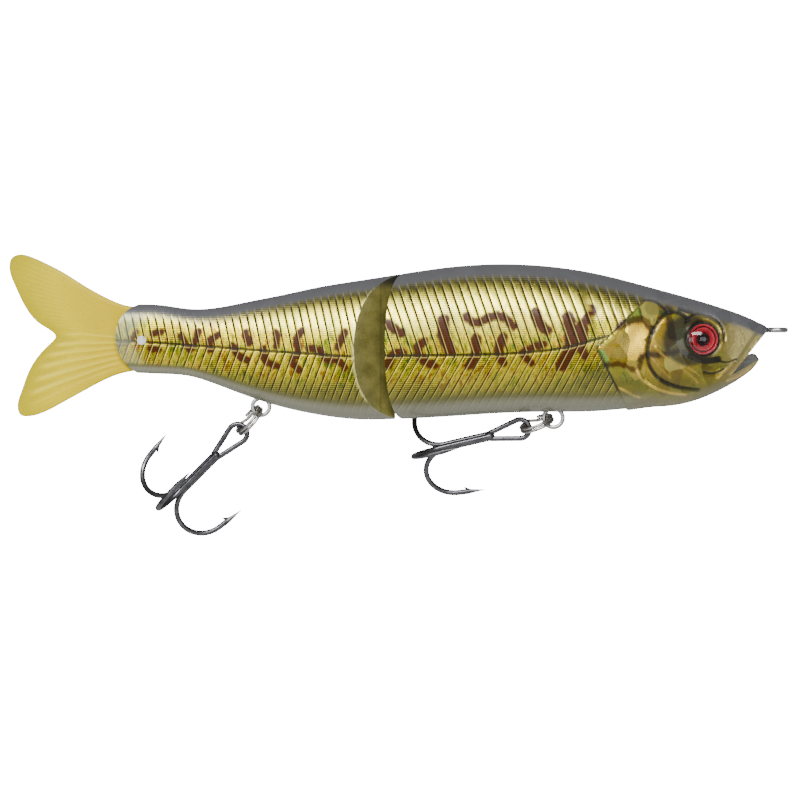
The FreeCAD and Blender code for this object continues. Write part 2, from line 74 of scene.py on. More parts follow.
# ---------------------------------------------------------------- sizes, in millimetres and degrees
FRONT_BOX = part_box("front_shell_left")
REAR_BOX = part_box("rear_shell_left")
NOSE_X = FRONT_BOX[1].x / MM
STEM_END_X = REAR_BOX[0].x / MM
HINGE_X = next(j for j in frame["joints"] if j["name"] == "body_joint")["pos_m"][0] / MM
BACK_HEIGHT = FRONT_BOX[1].z / MM
BELLY_DEPTH = -REAR_BOX[0].z / MM
BODY_WIDTH = 2 * FRONT_BOX[1].y / MM
FRONT_LENGTH = NOSE_X - HINGE_X
REAR_LENGTH = HINGE_X - STEM_END_X

# Body outline: share of the section's length, then shares of back height, belly depth and half width.
FRONT_ROWS = (
    (0.000, 0.030, 0.030, 0.060), (0.009, 0.070, 0.150, 0.160), (0.026, 0.120, 0.355, 0.270),
    (0.060, 0.209, 0.503, 0.405), (0.107, 0.308, 0.629, 0.570), (0.167, 0.418, 0.751, 0.720),
    (0.238, 0.534, 0.838, 0.845), (0.334, 0.685, 0.868, 0.935), (0.453, 0.856, 0.909, 0.985),
    (0.572, 0.962, 0.916, 1.000), (0.703, 1.000, 0.930, 1.000), (0.834, 0.959, 0.965, 0.980),
    (1.000, 0.822, 1.000, 0.935),
)
REAR_ROWS = (
    (0.118, 0.747, 1.000, 0.870), (0.250, 0.658, 0.954, 0.750), (0.391, 0.534, 0.863, 0.605),
    (0.523, 0.425, 0.736, 0.470), (0.647, 0.332, 0.594, 0.365), (0.730, 0.322, 0.518, 0.312),
    (0.829, 0.377, 0.492, 0.272), (1.000, 0.370, 0.470, 0.240),
)
FULLNESS = 0.61

# Joint faces and the shells' inside.
KNUCKLE_RADIUS = 2.6
JOINT_GAP = 0.4
WEDGE_ANGLE = 53.5
CUP_ANGLE = 23.5
WALL = 1.6
HEAD_SOLID = 21.0
JOINT_SOLID = 15.0
STEM_SOLID = 24.0
STEM_BULGE = 4.4
STEM_RISE = 0.6
# How far each skin runs on past the hinge before its joint face is cut.
FRONT_OVERRUN = 9.0
REAR_OVERRUN = 8.0
# Room left round the tail's root and round the hinge eyes.
TAIL_ROOM = 0.1
HINGE_ROOM = 0.35
HINGE_SLOT = 2.1

# Engraving: depth and half width of the scale lines, the side line and the ring round the eye.
SCALE_LINE = (0.13, 0.14)
LONG_LINE = (0.08, 0.24)
EYE_RING = (0.3, 0.28)
COVER_RISE = 0.38
HEAD_STEP = 0.30

# Mouth and eye. Side points are (behind the nose, above the line tie).
MOUTH_CORNER = (8.6, -10.2)
UPPER_LIP = (0.3, -0.3)
LOWER_LIP = (2.4, -6.6)
TONGUE = ((8.6, -10.2), (4.4, -5.4), (3.7, -5.15), (3.1, -5.2), (2.5, -5.6), (2.2, -6.3), (3.0, -8.0))
TONGUE_HALF_WIDTH = 1.3
EYE = (14.7, -2.1)
EYE_RADIUS = 3.4
EYE_TURN = 14.0
EYE_ROOM = 0.06
# The mouth's cutter starts this far ahead of the nose; the tongue meets the lower lip this far behind it.
PAST_NOSE = 6.0
TONGUE_START = 2.25

# The side line, from the gill to the stem.
SIDE_LINE = ((36.0, -1.5), (38.9, -2.3), (44.0, -3.7), (49.0, -4.6), (59.0, -5.4), (70.0, -5.6),
             (84.0, -5.7), (92.0, -5.9), (111.6, -4.6), (123.0, -3.7), (139.0, -2.6), (150.0, -2.4))

# The gill cover's rear edge, top to bottom.
GILL_EDGE = ((20.0, 14.0), (27.3, 6.5), (38.2, -4.1), (31.6, -16.6), (29.0, -22.0))

# Moulded lines of the head: path points, half width, depth or height.
HEAD_GROOVES = (
    ("gill_front", ((17.9, 2.1), (20.0, 3.7), (22.3, 3.8), (25.5, 0.4), (26.9, -3.5), (26.5, -8.2),
                    (24.3, -10.9), (20.9, -12.5), (15.5, -13.3)), 0.36, 0.42),
    ("gill_top", ((27.9, 6.5), (25.7, 6.4), (22.6, 3.8)), 0.30, 0.18),
    ("brow_line", ((18.6, 1.4), (17.4, 2.9), (14.8, 3.6), (12.0, 2.6), (10.3, 0.2), (10.0, -2.4)), 0.24, 0.3),
    ("jaw_line", ((7.4, -6.5), (9.9, -7.2), (11.6, -6.6)), 0.22, 0.2),
    ("jaw_low", ((10.0, -8.6), (12.4, -9.6), (14.6, -9.4)), 0.22, 0.2),
)
HEAD_RIDGES = (
    ("brow", ((18.0, -0.4), (17.0, 1.6), (14.8, 2.4), (12.6, 1.7), (11.0, -0.1), (10.8, -2.2)), 0.34, 0.40),
    ("cheek_long", ((25.2, -4.0), (22.8, -6.4), (18.5, -9.1), (15.8, -11.6)), 0.30, 0.34),
    ("cheek_low", ((25.8, -6.7), (24.0, -8.6), (22.1, -10.6)), 0.28, 0.30),
    ("cheek_front", ((19.7, -5.8), (17.6, -8.5), (15.5, -10.1)), 0.26, 0.28),
    ("gill_low", ((29.4, -9.0), (28.2, -10.8), (25.8, -12.6), (22.1, -13.9), (18.5, -14.3)), 0.34, 0.30),
    ("throat", ((33.1, -12.8), (30.6, -14.2), (28.5, -15.0)), 0.32, 0.22),
    ("lip", ((0.5, -1.0), (4.4, -5.6), (8.2, -9.9)), 0.46, 0.22),
    ("jaw_plate", ((8.0, -7.4), (9.8, -9.0), (11.4, -10.6)), 0.30, 0.26),
    ("chin", ((4.0, -8.5), (6.2, -10.0), (9.2, -11.2)), 0.34, 0.18),
)
# Grey paint on the head: path points, half width, strength.
HEAD_SHADES = (
    (((1.4, 0.9), (3.9, -2.2), (7.0, -6.7)), 0.50, 0.75),
    (((11.3, -7.4), (14.3, -9.0)), 0.42, 0.65),
    (((19.0, -5.0), (15.0, -6.8), (11.4, -6.5)), 0.85, 1.0),
    (((19.8, 4.6), (17.2, 3.8)), 0.6, 1.0),
    (((26.0, 4.8), (18.0, 5.2), (10.0, 2.6)), 2.0, 0.75),
    (((9.0, 1.5), (8.2, -2.5), (10.5, -6.0)), 1.3, 0.45),
)

# Dark red marks along the flank: path points and half width.
FRONT_MARKS = (
    (((84.4, 1.4), (81.1, -0.8)), 1.0),
    (((84.0, -7.9), (82.4, -5.3), (80.8, -5.0)), 0.95),
    (((76.1, -2.7), (77.4, -4.2), (76.5, -6.4), (74.0, -7.8)), 1.0),
    (((71.7, 2.0), (71.8, -1.4), (70.3, -4.5)), 1.25),
    (((66.8, 2.9), (65.3, 1.5), (62.5, 2.3), (59.4, 2.9), (56.6, 0.8)), 0.9),
    (((64.7, -2.0), (64.7, -4.5), (66.2, -7.9)), 1.05),
    (((58.8, -1.7), (59.7, -4.2), (58.8, -7.3)), 1.0),
    (((51.7, 3.6), (50.7, 1.1), (49.2, -0.2)), 1.1),
    (((54.4, -5.1), (52.3, -3.9), (49.8, -3.3)), 0.85),
    (((54.2, -5.8), (52.6, -7.3)), 0.85),
    (((44.5, 2.6), (43.9, -3.3), (46.1, -7.9)), 1.35),
    (((43.3, -0.8), (40.8, 1.7), (39.2, 4.4)), 1.0),
    (((43.0, -2.6), (40.5, -6.1)), 0.95),
    (((41.4, 1.1), (41.4, -2.6)), 1.2),
)
REAR_MARKS = (
    (((143.4, -3.0), (141.3, -2.6), (139.6, -0.4)), 0.55),
    (((135.8, -0.9), (134.1, -0.4)), 0.62),
    (((136.5, -4.2), (134.6, -4.4)), 0.65),
    (((129.5, -1.3), (127.6, -4.4), (125.9, -0.4)), 0.72),
    (((121.6, -1.3), (123.3, -2.5), (123.1, -4.4)), 0.72),
    (((115.3, -0.7), (114.5, -3.0)), 0.75),
    (((118.1, -3.6), (117.2, -5.3), (115.3, -6.6)), 0.8),
    (((108.5, -0.7), (108.5, -3.6)), 0.75),
    (((111.5, -4.2), (110.9, -6.8), (108.5, -8.0)), 0.8),
    (((103.0, -0.4), (104.1, -2.5), (103.7, -4.7), (105.0, -6.8), (103.5, -8.9)), 0.8),
    (((101.4, -4.2), (99.0, -4.7), (97.3, -6.6), (95.0, -6.8), (93.5, -8.5)), 0.8),
    (((93.5, -0.6), (95.0, -3.8)), 0.8),
)
HEAD_MARKS = (
    (((35.8, -7.9), (32.4, -7.8), (29.2, -8.9), (28.4, -6.2), (24.3, -5.6), (20.6, -4.7)), 0.55),
    (((33.3, 0.5), (30.7, 1.9), (27.8, 2.1), (26.0, -0.4)), 0.75),
    (((22.3, 4.6), (22.0, 0.6), (21.6, -1.6)), 0.7),
)

# Edges of the soft tail, root to tip, then the fork from the upper tip to the lower one.
TAIL_TOP = ((138.5, 4.9), (142.7, 5.7), (146.1, 7.1), (150.7, 9.6), (155.8, 12.8), (160.5, 15.2),
            (163.4, 16.4))
TAIL_FORK = ((165.6, 16.7), (167.1, 16.0), (167.7, 14.2), (166.5, 9.9), (164.3, 5.3), (161.3, 1.6),
             (158.4, -0.3), (157.5, -1.4), (158.4, -2.7), (161.3, -5.7), (163.4, -9.1), (165.1, -13.7),
             (165.9, -17.0), (165.2, -18.8))
TAIL_LOW = ((163.6, -19.1), (161.1, -18.6), (155.8, -16.0), (150.7, -13.2), (144.4, -10.1), (141.0, -9.2),
            (138.5, -8.9))

# Middle of the view: behind the nose and above the line tie.
VIEW_MIDDLE = (81.35, -15.47)


# ---------------------------------------------------------------- curves and the body's skin

def natural_cubic(knots, values, at):
    """Smooth curve through values at the knots."""
    knots = np.asarray(knots, float)
    values = np.asarray(values, float)
    count = len(knots)
    gap = np.diff(knots)
    matrix = np.zeros((count, count))
    right = np.zeros((count, values.shape[1]))
    matrix[0, 0] = matrix[-1, -1] = 1.0
    slope = np.diff(values, axis=0) / gap[:, None]
    for i in range(1, count - 1):
        matrix[i, i - 1:i + 2] = gap[i - 1], 2 * (gap[i - 1] + gap[i]), gap[i]
        right[i] = 6 * (slope[i] - slope[i - 1])
    bend = np.linalg.solve(matrix, right)
    cell = np.clip(np.searchsorted(knots, at) - 1, 0, count - 2)
    width = gap[cell][:, None]
    after = (at - knots[cell])[:, None]
    before = width - after
    cubic = (bend[cell] * before ** 3 + bend[cell + 1] * after ** 3) / (6 * width)
    first = (values[cell] / width - bend[cell] * width / 6) * before
    second = (values[cell + 1] / width - bend[cell + 1] * width / 6) * after
    return cubic + first + second


def smooth_path(points, count=40):
    """Points of a smooth curve through the given ones."""
    points = np.asarray(points, float)
    if len(points) < 3:
        share = np.linspace(0, 1, count)[:, None]
        return points[0] * (1 - share) + points[-1] * share
    knots = np.concatenate([[0], np.cumsum(np.linalg.norm(np.diff(points, axis=0), axis=1))])
    return natural_cubic(knots, points, np.linspace(0, knots[-1], count))


def body_outline():
    """Dense table of (behind the nose, top, bottom, half width)."""
    rows = [(share * FRONT_LENGTH, t, b, w) for share, t, b, w in FRONT_ROWS]
    rows += [(FRONT_LENGTH + share * REAR_LENGTH, t, b, w) for share, t, b, w in REAR_ROWS]
    rows = [(s, t * BACK_HEIGHT, -b * BELLY_DEPTH, w * BODY_WIDTH / 2) for s, t, b, w in rows]
    return smooth_path(rows, 1500)


OUTLINE = body_outline()


def body_at(behind):
    """Top, bottom and half width at distances behind the nose."""
    return [np.interp(behind, OUTLINE[:, 0], OUTLINE[:, i]) for i in (1, 2, 3)]


def skin(behind, around, inset=0.0):
    """Side reach and height of the left skin; around runs from the back (0) to the belly (1)."""
    top, bottom, half = body_at(behind)
    top, bottom, half = top - inset, bottom + inset, half - inset
    middle = (top + bottom) / 2
    t = np.where(around < 0.5, 2 * around, 2 - 2 * around)
    peak = np.where(around < 0.5, top, bottom)
    near, far = 1 - t, t
    y = half * (3 * near ** 2 * t * FULLNESS + 3 * near * t ** 2 + t ** 3)
    z = middle + (peak - middle) * (near ** 3 + 3 * near ** 2 * far + 3 * near * far ** 2 * FULLNESS)
    return y, z


def side_line(behind):
    points = np.array(SIDE_LINE)
    return np.interp(behind, points[:, 0], points[:, 1])


def gill_edge(z):
    points = np.array(GILL_EDGE)[::-1]
    return np.interp(z, points[:, 1], points[:, 0])


def smoothstep(low, high, value):
    t = np.clip((value - low) / (high - low), 0, 1)
    return t * t * (3 - 2 * t)


def bell(gap, reach, half):
    """Rounded profile of a moulded line."""
    return reach * np.exp(-(gap / half) ** 2)


def path_distance(path, behind, z):
    """Distance from points on the flank to a path."""
    best = np.full(behind.shape, 1e9)
    for a, b in zip(path, path[1:]):
        leg = b - a
        t = np.clip(((behind - a[0]) * leg[0] + (z - a[1]) * leg[1]) / (leg @ leg), 0, 1)
        best = np.minimum(best, np.hypot(behind - a[0] - t * leg[0], z - a[1] - t * leg[1]))
    return best


def stroke(path, behind, z, inner, outer, wobble=0.0, count=40):
    """One along a path, falling to nothing between two distances from it."""
    return 1 - smoothstep(inner, outer, path_distance(smooth_path(path, count), behind, z) + wobble)


def scale_lean(behind, z, front):
    """How far a scale line has drifted back where it is above or below the side line."""
    above, below = (18.0, 30.0) if front else (12.0, 20.0)
    over = z - side_line(behind)
    drift = np.where(over > 0, over * math.tan(math.radians(above)), -over * math.tan(math.radians(below)))
    return drift * smoothstep(8.0, 34.0, behind)


def scale_place(behind, z, front):
    """Where the scale line through a point meets the side line."""
    return behind - scale_lean(behind, z, front)


def scale_pitch(front):
    body = bpy.context.scene.swimbait_body
    return body.front_scale_pitch if front else body.rear_scale_pitch


def on_body(behind, z):
    """One behind the gill cover, nothing on the head."""
    return smoothstep(-0.1, 0.25, behind - gill_edge(z))


def relief(behind, z, front):
    """Height of the moulded detail over the plain skin."""
    top, bottom, _ = body_at(behind)
    body = on_body(behind, z)
    pitch = scale_pitch(front)
    line = np.abs((scale_place(behind, z, front) / pitch + 0.5) % 1.0 - 0.5) * pitch
    flank = smoothstep(0.0, 2.5, top - 1.5 - z) * smoothstep(0.5, 4.0, z - bottom)
    height = -bell(line, *SCALE_LINE) * body * flank
    height -= bell(z - side_line(behind), *LONG_LINE) * body
    if not front:
        return height
    ahead = gill_edge(z) - behind
    cover = smoothstep(-0.05, 0.2, ahead) * (1 - smoothstep(0.2, 7.0, ahead))
    height += COVER_RISE * cover * smoothstep(9.0, 6.0, z)
    for way, lines in ((-1, HEAD_GROOVES), (1, HEAD_RIDGES)):
        for _, path, half, reach in lines:
            height += way * bell(path_distance(smooth_path(path), behind, z), reach, half)
    eye = np.hypot(behind - EYE[0], z - EYE[1])
    return height - bell(eye - EYE_RADIUS - 0.35, *EYE_RING)


# ---------------------------------------------------------------- mesh helpers

def select_only(piece):
    if bpy.context.mode != "OBJECT":
        bpy.ops.object.mode_set(mode="OBJECT")
    bpy.ops.object.select_all(action="DESELECT")
    piece.select_set(True)
    bpy.context.view_layer.objects.active = piece


def edit_all(piece):
    """Edit mode with the whole of a piece selected."""
    select_only(piece)
    bpy.ops.object.mode_set(mode="EDIT")
    bpy.ops.mesh.select_all(action="SELECT")


def new_piece(name, points, faces, smooth=True):
    mesh = bpy.data.meshes.new(name)
    mesh.from_pydata([tuple(p) for p in points], [], faces)
    mesh.validate()
    piece = bpy.data.objects.new(name, mesh)
    bpy.context.collection.objects.link(piece)
    if smooth:
        mesh.shade_smooth()
    return piece


def outward(piece):
    """Point every face of a closed piece outwards."""
    edit_all(piece)
    bpy.ops.mesh.normals_make_consistent(inside=False)
    bpy.ops.object.mode_set(mode="OBJECT")


def add_cutter_box(low, high):
    """Box between two corners given in millimetres."""
    bpy.ops.object.select_all(action="DESELECT")
    centre = [(a + b) / 2 * MM for a, b in zip(low, high)]
    bpy.ops.mesh.primitive_cube_add(size=1, location=centre)
    box = bpy.context.active_object
    box.scale = [(b - a) * MM for a, b in zip(low, high)]
    bpy.ops.object.transform_apply(location=True, rotation=True, scale=True)
    return box


def add_cutter_rod(centre, radius, depth, axis):
    """Round rod about an axis, middle and sizes in millimetres."""
    bpy.ops.object.select_all(action="DESELECT")
    turn = Vector(axis).to_track_quat("Z", "Y").to_euler()
    bpy.ops.mesh.primitive_cylinder_add(vertices=96, radius=radius * MM, depth=depth * MM,
                                        location=Vector(centre) * MM, rotation=turn)
    rod = bpy.context.active_object
    bpy.ops.object.transform_apply(location=True, rotation=True, scale=True)
    return rod


def material_slot(piece, material):
    """Place of a material on a piece, added where it is new."""
    if material.name not in piece.data.materials:
        piece.data.materials.append(material)
    return piece.data.materials.find(material.name)


def carve(piece, cutter, material):
    """Take a cutter out of a piece; the new faces get the material."""
    material_slot(piece, material)
    cutter.data.materials.clear()
    cutter.data.materials.append(material)
    select_only(piece)
    cut = piece.modifiers.new("carve", "BOOLEAN")
    cut.operation = "DIFFERENCE"
    cut.solver = "EXACT"
    cut.material_mode = "TRANSFER"
    cut.object = cutter
    bpy.ops.object.modifier_apply(modifier=cut.name)
    bpy.data.objects.remove(cutter, do_unlink=True)


def slice_off(piece, point, normal, material):
    """Cut a closed piece with a plane, keep what is behind it and close the cut."""
    slot = material_slot(piece, material)
    edit_all(piece)
    bpy.ops.mesh.bisect(plane_co=Vector(point) * MM, plane_no=normal, use_fill=True, clear_outer=True,
                        threshold=1e-7)
    bpy.ops.object.mode_set(mode="OBJECT")
    normal = np.array(normal, float) / np.linalg.norm(normal)
    for face in piece.data.polygons:
        if abs(np.dot(face.normal, normal)) > 0.9999:
            gap = np.dot(np.array(face.center) / MM - np.array(point), normal)
            if abs(gap) < 0.01:
                face.material_index = slot
                face.use_smooth = False


def quads(index):
    """Four-cornered faces between the neighbours of a grid."""
    return np.stack([index[:-1, :-1], index[1:, :-1], index[1:, 1:], index[:-1, 1:]], -1).reshape(-1, 4)


def half_skin_grid(columns, around, front, engraved, inset=0.0):
    """Closed left half: plain or engraved skin, flat centre plane and flat ends."""
    spots, bands = np.meshgrid(columns, around, indexing="ij")
    behind = spots
    for _ in range(8 if engraved else 0):
        behind = spots + scale_lean(behind, skin(behind, bands, inset)[1], front)
    y, z = skin(behind, bands, inset)
    points = np.stack([NOSE_X - behind, y, z], axis=-1)
    if engraved:
        along = np.gradient(points, axis=0)
        across = np.gradient(points, axis=1)
        normal = np.cross(along, across)
        normal /= np.maximum(np.linalg.norm(normal, axis=-1, keepdims=True), 1e-9)
        normal[:, [0, -1], 1] = 0.0
        normal *= np.where(normal[..., 1:2] < -1e-6, -1, 1)
        normal[:, 0] *= np.sign(normal[:, 0, 2:3])
        normal[:, -1] *= -np.sign(normal[:, -1, 2:3])
        points = points + normal * relief(behind, z, front)[..., None]
    points[:, [0, -1], 1] = 0.0
    rows, cols = points.shape[:2]
    index = np.arange(rows * cols).reshape(rows, cols)
    faces = quads(index).tolist()
    faces += [[index[i, -1], index[i + 1, -1], index[i + 1, 0], index[i, 0]] for i in range(rows - 1)]
    faces += [index[0, :].tolist(), index[-1, ::-1].tolist()]
    return points.reshape(-1, 3) * MM, faces


def column_places(start, end, pitch, fine_until):
    """Columns of the skin: even ones on the head, then a group round every scale line."""
    places = list(np.arange(start, fine_until, HEAD_STEP))
    group = sorted((0.0, 0.12, 0.24, 0.6, 0.95, 1.3, pitch - 0.24, pitch - 0.12))
    for k in range(math.ceil(fine_until / pitch), int(end / pitch) + 1):
        places += [k * pitch + g for g in group]
    return np.array([p for p in places if p <= end])


def paint_marks(piece, front):
    """Store the colour zones, marks and painted highlights on the finished mesh, point by point."""
    mesh = piece.data
    co = np.empty(len(mesh.vertices) * 3)
    mesh.vertices.foreach_get("co", co)
    co = co.reshape(-1, 3) / MM
    behind = NOSE_X - co[:, 0]
    z = co[:, 2]
    top, bottom, _ = body_at(behind)
    body = on_body(behind, z) if front else np.ones_like(z)
    blotch = np.zeros_like(z)
    wobble = 0.10 * np.sin(behind * 3.1 + z * 1.7) + 0.08 * np.sin(behind * 5.3 - z * 4.1)
    for path, half in FRONT_MARKS if front else REAR_MARKS:
        blotch = np.maximum(blotch, stroke(path, behind, z, half - 0.1, half + 0.4, wobble, 16))
    blotch *= body
    dark = np.zeros_like(z)
    bright = np.zeros_like(z)
    if front:
        for path, half in HEAD_MARKS:
            blotch = np.maximum(blotch, stroke(path, behind, z, half - 0.2, half + 0.5, wobble, 24))
        for _, path, half, _ in HEAD_GROOVES:
            dark = np.maximum(dark, stroke(path, behind, z, half * 0.8, half * 1.7))
        # painted highlights along the head's ridges, all but the brow
        for name, path, half, _ in HEAD_RIDGES:
            if name != "brow":
                bright = np.maximum(bright, stroke(path, behind, z, half * 0.3, half * 1.3))
        edge = 1 - smoothstep(0.15, 0.45, np.abs(behind - gill_edge(z) - 0.15))
        dark = np.maximum(dark, edge * smoothstep(8.0, 6.0, z) * smoothstep(-17.5, -14.0, z))
        eye = np.hypot(behind - EYE[0], z - EYE[1])
        dark = np.maximum(dark, 1 - smoothstep(EYE_RADIUS + 0.3, EYE_RADIUS + 0.9, eye))
        patch = np.hypot((behind - EYE[0] - 3.2) / 6.6, (z - EYE[1] + 0.4) / 6.4)
        mask = 0.95 * (1 - smoothstep(0.78, 1.15, patch))
        cheek = np.hypot((behind - EYE[0] - 5.6) / 7.6, (z - EYE[1] + 4.4) / 7.0)
        mask = np.maximum(mask, 0.6 * (1 - smoothstep(0.7, 1.1, cheek)))
        for path, half, strength in HEAD_SHADES:
            mask = np.maximum(mask, strength * stroke(path, behind, z, half * 0.7, half * 1.35))
    else:
        mask = 0.5 * smoothstep(139.0, 142.5, behind + 0.5 * np.abs(z + 2.0))
        # painted highlight along the rim of the raked joint face
        rake = math.radians(WEDGE_ANGLE)
        from_face = KNUCKLE_RADIUS - (co[:, 0] - HINGE_X) * math.cos(rake) - np.abs(co[:, 1]) * math.sin(rake)
        bright = 1 - smoothstep(0.15, 0.45, np.abs(from_face))
    back_drop = np.interp(behind, (0, 20, 75, 120, 150), (8.5, 8.5, 8.0, 6.0, 4.6))
    back = 1 - np.clip((top - z) / back_drop, 0, 1)
    belly = smoothstep(0.19, 0.05, (z - bottom) / (top - bottom))
    for name, values in (("zones", (back, belly, 1 - body, mask)),
                         ("marks_and_highlights", (blotch, dark, bright, np.ones_like(z)))):
        colours = mesh.attributes.new(name, "FLOAT_COLOR", "POINT")
        colours.data.foreach_set("color", np.stack(values, -1).ravel())
    for name, values in (("scale_phase", scale_place(behind, z, front) / scale_pitch(front)),
                         ("side_gap", z - side_line(behind))):
        mesh.attributes.new(name, "FLOAT", "POINT").data.foreach_set("value", values)


# ---------------------------------------------------------------- materials

class Value:
    """Output of a material node that takes plain arithmetic."""

    def __init__(self, recipe, socket):
        self.recipe = recipe
        self.socket = socket

    def __add__(self, other):
        return self.recipe.math("ADD", self, other)

    def __sub__(self, other):
        return self.recipe.math("SUBTRACT", self, other)

    def __rsub__(self, other):
        return self.recipe.math("SUBTRACT", other, self)

    def __mul__(self, other):
        return self.recipe.math("MULTIPLY", self, other)

    def __abs__(self):
        return self.recipe.math("ABSOLUTE", self)


class Recipe:
    """Short hand for a material's nodes."""

    def __init__(self, name):
        self.material = bpy.data.materials.new(name)
        self.material.use_nodes = True
        self.tree = self.material.node_tree
        self.shader = self.tree.nodes["Principled BSDF"]

    def link(self, value, socket):
        if isinstance(value, Value):
            self.tree.links.new(value.socket, socket)
        elif value is not None:
            socket.default_value = value

    def set(self, **values):
        for name, value in values.items():
            self.link(value, self.shader.inputs[name.replace("_", " ")])
        return self

    def node(self, kind, **inputs):
        """New node with the named inputs linked or set."""
        node = self.tree.nodes.new("ShaderNode" + kind)
        for name, value in inputs.items():
            self.link(value, node.inputs[name.replace("_", " ")])
        return node

    def outputs(self, node):
        return [Value(self, socket) for socket in node.outputs]

    def math(self, operation, first, second=None, clamp=False):
        node = self.node("Math")
        node.operation = operation
        node.use_clamp = clamp
        for socket, value in zip(node.inputs, (first, second)):
            self.link(value, socket)
        return self.outputs(node)[0]

    def most(self, first, *others):
        for other in others:
            first = self.math("MAXIMUM", first, other)
        return first

    def ramp(self, value, low, high, start=0.0, end=1.0):
        """Smooth step from one value to another."""
        node = self.node("MapRange", Value=value, From_Min=low, From_Max=high, To_Min=start, To_Max=end)
        node.interpolation_type = "SMOOTHSTEP"
        return self.outputs(node)[0]

    def colours(self, value, stops):
        node = self.node("ValToRGB", Fac=value)
        ramp = node.color_ramp
        while len(ramp.elements) < len(stops):
            ramp.elements.new(0.5)
        for element, (place, colour) in zip(ramp.elements, stops):
            element.position = place
            element.color = (*colour, 1)
        return self.outputs(node)[0]

    def two_tone(self, value, dark, light):
        return self.colours(value, [(0.3, dark), (0.7, light)])

    def mix(self, amount, first, second, kind="MIX"):
        node = self.node("Mix")
        node.data_type = "RGBA"
        node.blend_type = kind
        self.link(amount, node.inputs[0])
        for socket, value in ((node.inputs[6], first), (node.inputs[7], second)):
            if isinstance(value, tuple):
                value = (*value, 1)
            self.link(value, socket)
        return self.outputs(node)[2]

    def attribute(self, name, output="Fac"):
        node = self.node("Attribute")
        node.attribute_name = name
        return Value(self, node.outputs[output])

    def parts(self, colour):
        return self.outputs(self.node("SeparateColor", Color=colour))

    def place(self, scale=(1000, 1000, 1000), shift=(0, 0, 0)):
        """Object coordinates, in millimetres unless scaled otherwise."""
        at = Value(self, self.node("TexCoord").outputs["Object"])
        return self.outputs(self.node("Mapping", Vector=at, Scale=scale, Location=shift))[0]

    def split(self, vector):
        return self.outputs(self.node("SeparateXYZ", Vector=vector))

    def noise(self, vector, scale=1.0, detail=3.0, roughness=0.5):
        node = self.node("TexNoise", Vector=vector, Scale=scale, Detail=detail, Roughness=roughness)
        return Value(self, node.outputs["Fac"])

    def cells(self, vector):
        """Three even random values for each cell."""
        node = self.node("TexVoronoi", Vector=vector, Scale=1.0)
        return self.parts(Value(self, node.outputs["Color"]))

    def bump(self, height, distance, strength=1.0, normal=None):
        node = self.node("Bump", Height=height, Distance=distance, Strength=strength, Normal=normal)
        return self.outputs(node)[0]


def foil_skin():
    """Gold prism foil under clear coat, with a dark back, a pearl belly and dark red marks, plus painted
    highlights and painted shade.
    """
    r = Recipe("foil_skin")
    at = r.place()
    x, y, z = r.split(at)
    back, belly, head = r.parts(r.attribute("zones", "Color"))
    mask = r.attribute("zones", "Alpha")
    blotch, dark, bright = r.parts(r.attribute("marks_and_highlights", "Color"))
    phase = r.attribute("scale_phase")
    over = r.attribute("side_gap")
    painted = r.most(blotch, dark, mask)

    # slow drift of the foil's colour, small flakes, and streaks that follow the scale lines
    drift = r.noise(r.place((150, 150, 210)), 1.0, 2.0)
    flake, flake_rough, _ = r.cells(r.place((1500, 500, 600)))
    along = r.outputs(r.node("CombineXYZ", X=phase * 5.5, Y=over * 0.32))[0]
    streak = r.noise(along, 1.0, 4.0, 0.65)
    level = hatch_lines(r, z)
    shade = drift * 0.85 + (flake - 0.5) * 0.30 + (streak - 0.5) * 1.7
    line, body = foil_body(r, back, blotch, phase, over, level, shade)
    prism, facets = foil_head(r, x, z, blotch, bright, head, drift)
    colour = r.mix(head, body, prism)
    # painted highlight: pale gold along the head's ridges where they run onto the body, and along the rim of
    # the rear's raked joint face
    colour = r.mix(bright * r.math("SUBTRACT", 0.75, head, clamp=True), colour, (0.85, 0.76, 0.30))
    colour = r.mix(mask, colour, r.mix(head, (0.30, 0.31, 0.20), (0.020, 0.018, 0.012)))
    colour = r.mix(dark * 0.93, colour, (0.014, 0.014, 0.012))

    # back and belly paint, with teeth where the back meets the scale lines
    back_edge = r.ramp(back + line * (1.0 - head) * 0.14, 0.52, 0.74)
    back_tone = r.mix(r.noise(at, 0.25, 2.0), (0.074, 0.074, 0.079), (0.100, 0.100, 0.107))
    colour = r.mix(back_edge, colour, back_tone)
    belly_tone = r.colours(belly, [
        (0.2, (0.105, 0.098, 0.014)), (0.6, (0.125, 0.12, 0.045)), (1.0, (0.22, 0.22, 0.16)),
    ])
    colour = r.mix(r.ramp(belly, 0.02, 0.6) * r.ramp(x, -42.0, -20.0, 0.93, 0.3), colour, belly_tone)

    bare = r.math("SUBTRACT", 1.0, painted, clamp=True)
    metal = r.math("MULTIPLY", 0.92 - back_edge * 0.8 - belly * 0.7, bare, clamp=True)
    normal = r.bump(level * 0.35 + flake * 0.5 + streak * 0.5, 0.00006, 0.5, facets)
    r.set(Base_Color=colour, Metallic=metal, Roughness=flake_rough * 0.14 + 0.24, Normal=normal)
    r.set(Specular_IOR_Level=r.ramp(painted, 0.0, 1.0, 0.4, 0.15))
    r.set(Coat_Weight=r.ramp(painted, 0.0, 1.0, 0.35, 0.12), Coat_Roughness=0.08, Coat_IOR=1.45)
    return r.material


def hatch_lines(r, z):
    """Level lines of the foil, dark to bright."""
    turn = 2 * math.pi / bpy.context.scene.swimbait_body.hatch_pitch
    return r.ramp(r.math("SINE", z * turn), -0.7, 0.4, 0.16, 1.0)


